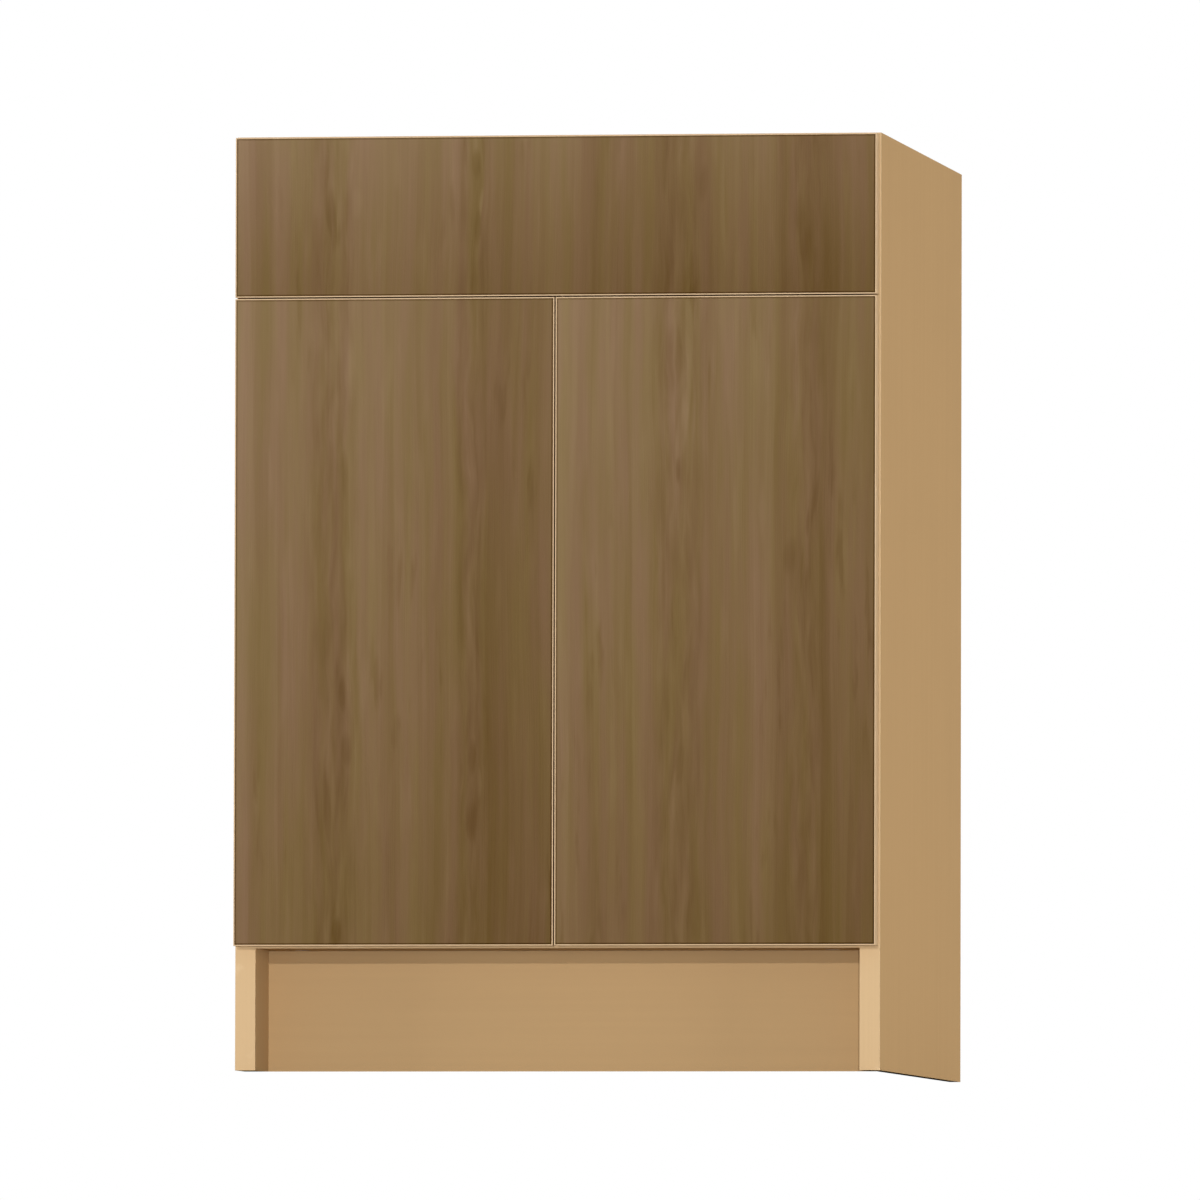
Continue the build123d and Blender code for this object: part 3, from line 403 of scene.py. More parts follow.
CRINKLED = (Column(-208, 20), Column(-78, 12), Column(116, 20), Column(238, 14))
FIGURE = (
    Streak(-300, 0.04), Streak(-276, -0.03), Streak(-250, 0.02), Streak(-212, -0.05), Streak(-178, 0.03),
    Streak(-110, 0.03), Streak(-94, 0.03), Streak(-88, -0.06), Streak(-45, -0.05), Streak(-25, 0.03),
    Streak(12, 0.02), Streak(40, -0.05), Streak(72, 0.0), Streak(108, -0.05), Streak(178, 0.04),
    Streak(200, 0.05), Streak(218, -0.02), Streak(252, -0.05), Streak(282, 0.04), Streak(304, 0.0),
)
FLECKS = (
    Fleck(-201, 352, 4, 16, 0.0, -0.10), Fleck(-198, 300, 5, 15, -0.1, -0.09),
    Fleck(-214, 246, 3, 34, -0.1, -0.07), Fleck(-208, 392, 5, 26, 0.4, 0.05),
    Fleck(-222, 318, 4, 30, -0.2, 0.05), Fleck(-212, 282, 3, 40, -0.3, 0.06),
    Fleck(-206, 128, 5, 14, 0.0, -0.10), Fleck(-79, 292, 4, 16, 0.1, -0.08),
    Fleck(-77, 232, 5, 18, 0.0, -0.07), Fleck(-71, 268, 2, 14, 0.0, 0.07),
    Fleck(-206, 610, 6, 24, 0.2, 0.04), Fleck(-196, 560, 3, 22, 0.1, -0.05),
    Fleck(112, 664, 9, 30, 0.35, -0.05), Fleck(120, 596, 4, 34, 0.25, 0.07),
    Fleck(117, 560, 2, 11, 0.1, -0.09), Fleck(124, 640, 4, 40, 0.3, 0.04),
    Fleck(240, 511, 2, 13, 0.0, -0.09), Fleck(224, 480, 7, 16, 0.3, -0.06),
    Fleck(120, 286, 4, 20, 0.0, -0.07), Fleck(114, 250, 3, 30, 0.2, 0.05),
    Fleck(246, 380, 4, 30, -0.1, -0.04), Fleck(-77, 848, 4, 13, 0.1, -0.08),
    Fleck(-72, 812, 2, 12, -0.1, 0.08), Fleck(-74, 790, 4, 16, 0.0, -0.07),
    Fleck(-186, 812, 5, 14, 0.1, 0.04), Fleck(140, 830, 4, 16, 0.2, -0.05),
    Fleck(232, 800, 4, 18, 0.0, -0.05),
)


class Finish(ABC):
    """A surface that pieces are dressed in."""

    def material(self, name: str) -> bpy.types.Material:
        """Make the finish.

        Args:
            name: The material's name.

        Returns:
            The finished material.
        """
        material = bpy.data.materials.new(name)
        self.paint(Shader(material))
        return material

    @abstractmethod
    def paint(self, shader: Shader) -> None:
        """Fill a material's tree."""


@dataclass(frozen=True)
class WalnutLaminate(Finish):
    """Walnut-print laminate on a front, whose upright figure runs on from one front to the next."""

    low: Vector
    high: Vector
    olive: tuple[Colour, ...] = (
        srgb(72, 49, 12), srgb(94, 71, 34), srgb(116, 94, 57), srgb(138, 116, 81), srgb(160, 138, 104))
    reddish: tuple[Colour, ...] = (
        srgb(76, 50, 21), srgb(98, 72, 43), srgb(120, 93, 66), srgb(142, 115, 89), srgb(164, 137, 112))
    tone_reach: float = 0.42
    level: float = -0.031
    # Painted light: how much lighter each front gets towards its left and towards its top.
    painted_light_across: float = 0.17
    painted_light_up: float = 0.16
    # Width of the painted shade on each front's bevel, and how dark it is on the upper left and on the lower
    # right.
    bevel: float = 1.5 * MM
    near_edge_painted_shade: float = -0.10
    far_edge_painted_shade: float = -0.20
    drift: Layer = Layer(5.0, 2.2, 3.7, 1.0, 14.0 * MM)
    waver: Layer = Layer(42.0, 10.0, 6.1, 2.0, 3.0 * MM)
    wild_waver: float = 10.0 * MM
    fade: Layer = Layer(7.0, 3.0, 8.2, 1.0, 2.0)
    fade_middle: float = 0.85
    broad: Layer = Layer(70.0, 1.4, 0.0, 1.0, 0.045, roughen=0.06)
    narrow: Layer = Layer(230.0, 2.4, 9.0, 2.0, 0.045)
    fibre: Layer = Layer(900.0, 9.0, 2.0, 2.0, 0.06, roughen=0.10)
    steps: Layer = Layer(48.0, 0.9, 5.0, 0.0, 0.026, (-0.015, 0.015))
    ledges: Layer = Layer(105.0, 1.6, 2.0, 0.0, 0.018, (-0.03, 0.03))
    gleams: Layer = Layer(85.0, 10.0, 11.0, 1.0, 0.03, (0.05, 0.24))
    ticks: Layer = Layer(105.0, 12.0, 1.0, 2.0, -0.09, (0.03, 0.20))
    ticked: Layer = Layer(17.0, 3.5, 1.0, 1.0, 1.0, (-0.02, 0.16))
    wisps: Layer = Layer(120.0, 14.0, 4.0, 2.0, 0.05)
    wild_wisps: float = 0.24
    hue: Layer = Layer(60.0, 4.0, 7.0, 2.0, 1.0, (-0.25, 0.25))
    column_levels: Levels = (0.3, 1.7)
    fleck_reach: float = 1.8
    fleck_lean: float = 0.3
    narrow_relief: float = 0.5
    skin: Skin = Skin(0.44, 0.12 * MM, specular=0.1)

    def paint(self, shader: Shader) -> None:
        """Print, pores, painted light that falls from each front's upper left, and painted shade on its
        bevel.

        Args:
            shader: The material's tree.
        """
        x, _, z = shader.axes()
        drifted = x + self.drift.read(x, z) * self.drift.strength
        wild = self._crinkle(drifted)
        across = drifted + self.waver.read(x, z) * (wild * self.wild_waver + self.waver.strength)
        fade = self.fade.read(x, z) * self.fade.strength + self.fade_middle
        # The tone starts from the painted light, lighter at each front's upper left, and adds the print's
        # figure and flecks.
        tone = self._painted_light(x, z) + self._figure(across) * fade + self._flecks(across, z)
        broad, narrow, fibre = [layer.read(across, z) for layer in (self.broad, self.narrow, self.fibre)]
        tone = tone + broad * self.broad.strength + narrow * self.narrow.strength
        # The painted shade on the bevel goes in here, with the fibres and the level.
        tone = tone + fibre * self.fibre.strength + self.level + self._painted_edge_shade(x, z)
        for layer in (self.steps, self.ledges, self.gleams):
            tone = tone + layer.read(across, z) * layer.strength
        ticks = self.ticks.read(across, z) * self.ticked.read(across, z)
        wisps = self.wisps.read(across, z)
        tone = tone + ticks * self.ticks.strength + wisps * (wild * self.wild_wisps + self.wisps.strength)
        hue = self.hue.read(across, z)
        colour = shader.mix(hue, self._shade(tone, self.olive), self._shade(tone, self.reddish))
        roughen = fibre * self.fibre.roughen + broad * self.broad.roughen
        shader.done(colour, roughen, fibre + narrow * self.narrow_relief, self.skin)

    def _shade(self, tone: Signal, shades: tuple[Colour, ...]) -> Signal:
        """Colour of a tone: pale tones are greyer and dark ones richer.

        Args:
            tone: How much lighter or darker than the middle shade, 0 for the middle.
            shades: The shades from dark to pale, evenly spaced.

        Returns:
            The colour.
        """
        stops = [(index / (len(shades) - 1), shade) for index, shade in enumerate(shades)]
        place = tone / (2 * self.tone_reach) + 0.5
        return tone.shader.ramp(place, stops, "LINEAR")

    def _painted_light(self, x: Signal, z: Signal) -> Signal:
        """Painted light: the tone falls slowly from a front's upper left to its lower right, as if lit from
        the upper left.
        """
        size, middle = self.high - self.low, (self.low + self.high) / 2
        return (x - middle.x) * (-self.painted_light_across / size.x) + (z - middle.z) * (self.painted_light_up / size.z)

    @staticmethod
    def _figure(across: Signal) -> Signal:
        """The drawn streaks, as a ramp of tones about a middle grey.

        Args:
            across: Place across, with the grain's waver.

        Returns:
            The tone.
        """
        reach = max(abs(FIGURE[0].across_mm), abs(FIGURE[-1].across_mm)) * MM
        grey = 0.5
        stops = [(0.5 + streak.across_mm * MM / (2 * reach), (grey + streak.tone,) * 3) for streak in FIGURE]
        level = across.shader.ramp(across / (2 * reach) + 0.5, stops, "EASE")
        return across.shader.node("SeparateColor", inputs={0: level}) - grey

    def _crinkle(self, across: Signal) -> Signal:
        """The upright columns where the grain is crinkled.

        Args:
            across: Place across, with the grain's drift.

        Returns:
            1 in the columns, 0 between them.
        """
        total: Number = 0.0
        for column in CRINKLED:
            off = abs(across - column.across_mm * MM) / (column.half_width_mm * MM)
            total = off.smooth(*self.column_levels, 1.0, 0.0) + total
        return total

    def _flecks(self, across: Signal, z: Signal) -> Signal:
        """Sum of the oval knots and wisps that lie on this front.

        Args:
            across: Place across, with the grain's waver.
            z: Place up.

        Returns:
            The tone.
        """
        total: Number = 0.0
        for fleck in FLECKS:
            here = Vector((fleck.across_mm * MM, 0.0, fleck.up_mm * MM))
            if not (self.low.x < here.x < self.high.x and self.low.z < here.z < self.high.z):
                continue
            up = z - here.z
            wide = (across - here.x - up * (fleck.lean * self.fleck_lean)) / (fleck.half_width_mm * MM)
            tall = up / (fleck.half_height_mm * MM)
            total = (wide * wide + tall * tall).smooth(0.0, self.fleck_reach, fleck.tone, 0.0) + total
        return total

    def _painted_edge_shade(self, x: Signal, z: Signal) -> Signal:
        """Painted shade on the bevel round the front, strongest on its right and lower edges.

        Args:
            x: Place across.
            z: Place up.

        Returns:
            The tone.
        """
        near = (x < self.low.x + self.bevel).larger(z > self.high.z - self.bevel)
        far = (x > self.high.x - self.bevel).larger(z < self.low.z + self.bevel)
        return near * self.near_edge_painted_shade + far * self.far_edge_painted_shade


@dataclass(frozen=True)
class Chipboard:
    """Raw edge of a chipboard panel: pressed flakes of two sizes and mixed tones."""

    flake: Colour = srgb(190, 152, 104)
    dark_flake: Colour = srgb(138, 102, 64)
    pale_flake: Colour = srgb(221, 190, 146)
    fine_flakes: float = 1100.0
    fine_share: float = 0.6
    coarse_flakes: float = 480.0
    coarse_share: float = 0.4
    dark_levels: Levels = (0.05, 0.45)
    pale_levels: Levels = (0.55, 0.95)

    def flakes(self, shader: Shader) -> tuple[Signal, Signal]:
        """The pressed flakes.

        Args:
            shader: The tree that the flakes go in.

        Returns:
            The flakes' colour and the height of their relief.
        """
        distance, fine = shader.cells(self.fine_flakes)
        _, coarse = shader.cells(self.coarse_flakes)
        tone = fine * self.fine_share + coarse * self.coarse_share
        colour = shader.mix(tone.smooth(*self.dark_levels), self.dark_flake, self.flake)
        return shader.mix(tone.smooth(*self.pale_levels), colour, self.pale_flake), tone - distance


@dataclass(frozen=True)
class Melamine(Finish):
    """Tan melamine on a board's two faces, with raw chipboard on the edges and in the bores."""

    face: Axis
    along: Axis = Axis.UP
    tan: Colour = srgb(181, 148, 105)
    # A tone lift above 1 is painted light.
    painted_light_lift: float = 1.0
    core: Chipboard = Chipboard()
    grain: Noise = Noise(120.0, 3.0, 2.5, tone=0.035)
    cloud: Noise = Noise(6.0, 2.0, tone=0.018, roughen=0.06)
    pebbles: float = 900.0
    pebble_height: float = 0.12
    face_roughen: float = -0.36
    skin: Skin = Skin(0.86, 0.35 * MM, specular=0.0)

    def paint(self, shader: Shader) -> None:
        """Faint printed grain, pressed pebble texture and flaky edges.

        Args:
            shader: The material's tree.
        """
        on_face = shader.looks(self.face)
        grain = self.grain.read(shader, self.along)
        cloud = self.cloud.read(shader)
        pebble, _ = shader.cells(self.pebbles)
        printed = shader.scaled(self.tan, self.painted_light_lift + grain * self.grain.tone + cloud * self.cloud.tone)
        flakes, height = self.core.flakes(shader)
        roughen = on_face * self.face_roughen + cloud * self.cloud.roughen
        relief = (pebble - 0.5) * self.pebble_height * on_face + height * (1.0 - on_face)
        shader.done(shader.mix(on_face, flakes, printed), roughen, relief, self.skin)


@dataclass(frozen=True)
class EdgeBand(Finish):
    """Pale glued strip on a board's edge, with faint streaks; a printed one is tan but pale on the faces
    that look front or back: its trimmed edges, also painted paler as if lit from the front.
    """

    pale: Colour = srgb(214, 182, 139)
    rubbed: Colour = srgb(223, 193, 151)
    printed: Optional[Colour] = None
    streaks: Noise = Noise(420.0, 2.0, 3.0, tone=0.03, roughen=0.08)
    rubs: Noise = Noise(40.0, 3.0)
    rub_levels: Levels = (0.12, 0.25)
    skin: Skin = Skin(0.5, 0.1 * MM, specular=0.1)

    def paint(self, shader: Shader) -> None:
        """Streaks along the strip and a fine drawn texture.

        Args:
            shader: The material's tree.
        """
        lying = shader.looks(Axis.UP)
        upright = 1.0 - lying
        run = self.streaks.read(shader, Axis.UP) * upright + self.streaks.read(shader, Axis.ACROSS) * lying
        shade = shader.mix(self.rubs.read(shader).smooth(*self.rub_levels), self.pale, self.rubbed)
        # Painted light: faces that look front or back stay pale, as if lit from the front, and the rest take
        # the printed tan.
        if self.printed is not None:
            shade = shader.mix(shader.looks(Axis.DEEP), self.printed, shade)
        colour = shader.scaled(shade, 1.0 + run * self.streaks.tone)
        shader.done(colour, run * self.streaks.roughen, run, self.skin)


@dataclass(frozen=True)
class Hardboard(Finish):
    """Thin panel: tan print on the side that shows inside, brown pressed fibre behind."""

    face: Axis
    face_way: float
    tan: Colour = srgb(184, 151, 108)
    fibre_brown: Colour = srgb(133, 100, 68)
    grain: Noise = Noise(120.0, 3.0, 2.5, tone=0.035)
    fibres: Noise = Noise(260.0, 6.0, tone=0.35)
    mesh_turns: float = 1600.0
    mesh_tone: float = 0.04
    mesh_height: float = 0.3
    face_roughen: float = -0.3
    skin: Skin = Skin(0.82, 0.3 * MM, specular=0.3)

    def paint(self, shader: Shader) -> None:
        """Print in front, fibres and a woven press mark behind.

        Args:
            shader: The material's tree.
        """
        x, y, z = shader.axes()
        front = (shader.facing(self.face) * self.face_way) > LOOKING
        fibres = self.fibres.read(shader)
        mesh = (x * self.mesh_turns).math("SINE") * ((y + z) * self.mesh_turns).math("SINE")
        printed = shader.scaled(self.tan, 1.0 + self.grain.read(shader, Axis.UP) * self.grain.tone)
        raw = shader.scaled(self.fibre_brown, 1.0 + fibres * self.fibres.tone + mesh * self.mesh_tone)
        relief = (fibres + mesh * self.mesh_height) * (1.0 - front)
        shader.done(shader.mix(front, raw, printed), front * self.face_roughen, relief, self.skin)


@dataclass(frozen=True)
class BirchPly(Finish):
    """Birch plywood of the drawer box, with its plies showing on the edges."""

    thickness: Axis
    along: Axis
    start: float
    board: float
    plies: int = 11
    pale: Colour = srgb(216, 189, 151)
    figure: Colour = srgb(196, 163, 120)
    cross_ply: Colour = srgb(158, 120, 82)
    waves: Noise = Noise(26.0, 3.0, 3.0)
    rings: float = 9.0
    ring_share: float = 0.45
    fine: Noise = Noise(800.0, 2.0, 20.0, tone=0.08, roughen=0.12)
    skin: Skin = Skin(0.46, 0.15 * MM, specular=0.3)

    def paint(self, shader: Shader) -> None:
        """Rotary-cut face figure, and striped edges.

        Args:
            shader: The material's tree.
        """
        waves = self.waves.read(shader, self.along)
        fine = self.fine.read(shader, self.along)
        rings = abs((waves * self.rings).fraction() - 0.5) * 2.0
        face = shader.mix(rings.smooth(0.0, 1.0) * self.ring_share, self.pale, self.figure)
        depth = (shader.part(shader.place(), self.thickness) - self.start) * (self.plies / self.board)
        is_cross = (depth * 0.5).fraction() > 0.5
        edge = shader.mix(is_cross, self.pale, self.cross_ply)
        board = shader.mix(shader.looks(self.thickness), edge, face)
        colour = shader.scaled(board, 1.0 + fine * self.fine.tone)
        shader.done(colour, fine * self.fine.roughen, fine, self.skin)


@dataclass(frozen=True)
class Beech(Finish):
    """Turned beech of the dowels, with grain and ray flecks along them."""

    pale: Colour = srgb(211, 170, 122)
    dark: Colour = srgb(176, 132, 88)
    rays: Noise = Noise(900.0, 3.0, 25.0, roughen=0.1)
    ray_levels: Levels = (-0.3, 0.3)
    skin: Skin = Skin(0.7, 0.1 * MM)

    def paint(self, shader: Shader) -> None:
        """Short dark rays in straight grain.

        Args:
            shader: The material's tree.
        """
        rays = self.rays.read(shader, Axis.ACROSS)
        colour = shader.mix(rays.smooth(*self.ray_levels), self.dark, self.pale)
        shader.done(colour, rays * self.rays.roughen, rays, self.skin)


@dataclass(frozen=True)
class PlatedSteel(Finish):
    """Plated steel: drawn or tumbled marks, and dull spots where the plating is worn."""

    metal: Colour
    worn: Colour
    roughness: float
    marks: tuple[float, float, float]
    relief: float = 0.04 * MM
    mark_detail: float = 3.0
    mark_tone: float = 0.06
    mark_roughen: float = 0.14
    dulling: Noise = Noise(70.0, 3.0, roughen=0.12)
    dull_levels: Levels = (0.08, 0.28)
    dull_share: float = 0.5

    def paint(self, shader: Shader) -> None:
        """Marks along the metal's run, with cloudy dulling.

        Args:
            shader: The material's tree.
        """
        marks = shader.noise(shader.stretched(self.marks), self.mark_detail)
        dull = self.dulling.read(shader).smooth(*self.dull_levels)
        plated = shader.mix(dull * self.dull_share, self.metal, self.worn)
        colour = shader.scaled(plated, 1.0 + marks * self.mark_tone)
        roughen = marks * self.mark_roughen + dull * self.dulling.roughen
        shader.done(colour, roughen, marks, Skin(self.roughness, self.relief, metallic=1.0))


@dataclass(frozen=True)
class CastZinc(Finish):
    """Die-cast zinc: matt grey skin with a fine pitted grain."""

    metal: Colour = srgb(178, 180, 184)
    dull: Colour = srgb(140, 142, 146)
    pits: float = 700.0
    pit_roughen: float = 0.05
    cloud: Noise = Noise(90.0, 4.0, roughen=0.18)
    cloud_levels: Levels = (-0.25, 0.25)
    skin: Skin = Skin(0.46, 0.1 * MM, metallic=0.95)

    def paint(self, shader: Shader) -> None:
        """Pitted skin with darker hollows.

        Args:
            shader: The material's tree.
        """
        pits, level = shader.cells(self.pits)
        cloud = self.cloud.read(shader)
        colour = shader.mix(cloud.smooth(*self.cloud_levels), self.dull, self.metal)
        roughen = cloud * self.cloud.roughen + level * self.pit_roughen
        shader.done(colour, roughen, pits + cloud, self.skin)


@dataclass(frozen=True)
class MouldedPlastic(Finish):
    """Spark-textured moulded plastic."""

    grey: Colour = srgb(120, 122, 124)
    grain: Noise = Noise(2600.0, 2.0, tone=0.08, roughen=0.15)
    cloud: Noise = Noise(120.0, 2.0, tone=0.05)
    skin: Skin = Skin(0.48, 0.08 * MM)

    def paint(self, shader: Shader) -> None:
        """Fine grain with a slight sheen.

        Args:
            shader: The material's tree.
        """
        grain = self.grain.read(shader)
        tone = 1.0 + grain * self.grain.tone + self.cloud.read(shader) * self.cloud.tone
        shader.done(shader.scaled(self.grey, tone), grain * self.grain.roughen, grain, self.skin)


NICKEL = PlatedSteel(srgb(212, 207, 198), srgb(170, 164, 154), 0.26, (500.0, 500.0, 160.0))
SLIDE_ZINC = PlatedSteel(srgb(172, 176, 180), srgb(118, 122, 128), 0.28, (280.0, 3.0, 280.0))
SCREW_ZINC = PlatedSteel(srgb(206, 202, 190), srgb(160, 156, 146), 0.32, (900.0, 900.0, 900.0))
BALL_STEEL = PlatedSteel(srgb(220, 221, 223), srgb(196, 198, 200), 0.12, (600.0, 600.0, 600.0), 0.01 * MM)


def dress(material: bpy.types.Material, names: Iterable[str]) -> None:
    """Give nodes a material and report each.

    Args:
        material: The finish.
        names: The nodes that get it.
    """
    for name in names:
        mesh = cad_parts[name].data
        mesh.materials.clear()
        mesh.materials.append(material)
        LOG.info("%s: %s", name, material.name)


def add_object(name: str, mesh: bpy.types.Mesh, material: bpy.types.Material) -> bpy.types.Object:
    """Put a mesh into the scene.

    Args:
        name: The object's name.
        mesh: Its mesh, in place.
        material: Its finish.

    Returns:
        The new object, at the origin.
    """
    mesh.materials.append(material)
    made = bpy.data.objects.new(name, mesh)
    bpy.context.scene.collection.objects.link(made)
    return made


def arc(centre: tuple[float, float], radius: float, start: float, end: float) -> np.ndarray:
    """Points on a circle: the centre plus the radius times the cosine and sine of evenly spaced degrees."""
    angles = np.radians(np.linspace(start, end, ARC_POINTS))
    return np.array(centre) + radius * np.stack([np.cos(angles), np.sin(angles)], axis=1)


def swept_mesh(name: str, rings: np.ndarray, material: bpy.types.Material) -> bpy.types.Object:
    """Closed skin through rings of points, capped at both ends and turned to face outwards.

    Each quad joins two neighbours on a ring to the same two on the next ring. The sum over the quads of the
    normal times the way from the middle tells whether they face outwards.

    Args:
        name: The piece's name.
        rings: Array of stations by ring points by three, each ring closed.
        material: The piece's finish.

    Returns:
        The new object, at the origin.
    """
    stations, around, _ = rings.shape
    index = np.arange(stations * around).reshape(stations, around)
    turned = np.roll(index, -1, axis=1)
    quads = np.stack([index[:-1], turned[:-1], turned[1:], index[1:]], axis=-1).reshape(-1, 4)
    points = rings.reshape(-1, 3)
    first, second, third = (points[quads[:, corner]] for corner in range(3))
    outward = np.einsum("ij,ij->", np.cross(second - first, third - first), first - points.mean(axis=0))
    caps = [index[0][::-1], index[-1]]
    if outward < 0:
        quads = quads[:, ::-1]
        caps = [cap[::-1] for cap in caps]
    mesh = bpy.data.meshes.new(name)
    mesh.from_pydata(points.tolist(), [], quads.tolist() + [cap.tolist() for cap in caps])
    mesh.shade_smooth()
    mesh.set_sharp_from_angle(angle=math.radians(SHARP_DEGREES))
    return add_object(name, mesh, material)


@dataclass
class Fronts:
    """Drawer front and doors."""

    names: tuple[str, ...] = ("drawer_front", "left_door", "right_door")
    # The bands' tan sides and pale trimmed edges; the pale edges are partly painted light from the front.
    tape: EdgeBand = EdgeBand(srgb(212, 182, 145), srgb(222, 194, 158), srgb(181, 148, 105))

    def dress(self) -> None:
        """Walnut on the faces, tan on the backs and tan bands round them whose trimmed edges are painted
        pale, partly as light from the front.
        """
        for name in self.names:
            dress(WalnutLaminate(*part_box(name + "_face")).material(name + "_walnut"), [name + "_face"])
        dress(Melamine(Axis.DEEP).material("front_back"), [name + "_core" for name in self.names])
        dress(self.tape.material("front_edge_band"), [name + "_edge_bands" for name in self.names])


@dataclass
class Carcass:
    """Boards, bands and hidden fixings of the box."""

    sides: tuple[str, ...] = ("side_panel_left", "side_panel_right")
    lying: tuple[str, ...] = ("bottom_panel", "front_top_rail", "rear_top_rail", "drawer_rail", "shelf")
    standing: tuple[str, ...] = ("hanging_rail",)
    toe_tan: Colour = srgb(180, 149, 108)
    # Painted light: the toe board's tan is lifted to make up for the shade in its recess.
    toe_painted_light: float = 1.06

    def dress(self) -> None:
        """Tan melamine on the boards and metal on the fixings."""
        dress(Melamine(Axis.ACROSS).material("side_panel_tan"), self.sides)
        dress(Melamine(Axis.UP, Axis.ACROSS).material("board_tan"), self.lying)
        dress(Melamine(Axis.DEEP, Axis.ACROSS).material("rail_tan"), self.standing)
        # The toe board takes its tan with the painted light lift.
        toe = Melamine(Axis.DEEP, Axis.ACROSS, self.toe_tan, self.toe_painted_light)
        dress(toe.material("toe_board_tan"), ["toe_kick_board"])
        dress(Hardboard(Axis.DEEP, -1.0).material("back_panel_print"), ["back_panel"])
        dress(EdgeBand().material("carcass_edge_band"), ["carcass_edge_bands"])
        dress(CastZinc().material("cam_zinc"), ["cam_locks"])
        dress(SCREW_ZINC.material("bolt_steel"), ["cam_bolts", "hardware_screws"])
        dress(Beech().material("dowel_beech"), ["dowels", "drawer_dowels"])
        dress(NICKEL.material("shelf_pin_nickel"), ["shelf_pins"])


@dataclass
class CupHinges:
    """Concealed hinges of both doors."""

    nickel_pieces: tuple[str, ...] = ("hinge_arms", "hinge_levers", "guide_levers", "hinge_cups")
    steel_pieces: tuple[str, ...] = ("cup_pins", "cup_screws")

    def dress(self) -> None:
        """Nickel on the formed pieces, zinc on the plates and steel on the pins and screws."""
        nickel = NICKEL.material("hinge_nickel")
        zinc = CastZinc().material("hinge_plate_zinc")
        steel = SCREW_ZINC.material("hinge_pin_steel")
        for side in Side:
            dress(nickel, [f"{side.value}_{piece}" for piece in self.nickel_pieces])
            dress(zinc, [f"{side.value}_hinge_plates"])
            dress(steel, [f"{side.value}_{piece}" for piece in self.steel_pieces])
        dress(steel, ["hinge_arm_pins"])


@dataclass
class DrawerBox:
    """Plywood box behind the drawer front."""

    board: float = 15.0 * MM
    sides: tuple[str, ...] = ("drawer_side_left", "drawer_side_right")
    ends: tuple[str, ...] = ("drawer_box_front", "drawer_box_back")
    bottom_tan: Colour = srgb(205, 178, 140)

    def dress(self) -> None:
        """Birch ply on the boards, print on the bottom and steel on the screws."""
        ways = ((self.sides, Axis.ACROSS, Axis.DEEP), (self.ends, Axis.DEEP, Axis.ACROSS))
        for names, thickness, along in ways:
            for name in names:
                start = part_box(name)[0][thickness.value]
                dress(BirchPly(thickness, along, start, self.board).material(name + "_ply"), [name])
        bottom = Hardboard(Axis.UP, 1.0, self.bottom_tan)
        dress(bottom.material("drawer_bottom_print"), ["drawer_bottom"])
        dress(SCREW_ZINC.material("drawer_screw_steel"), ["drawer_screws"])


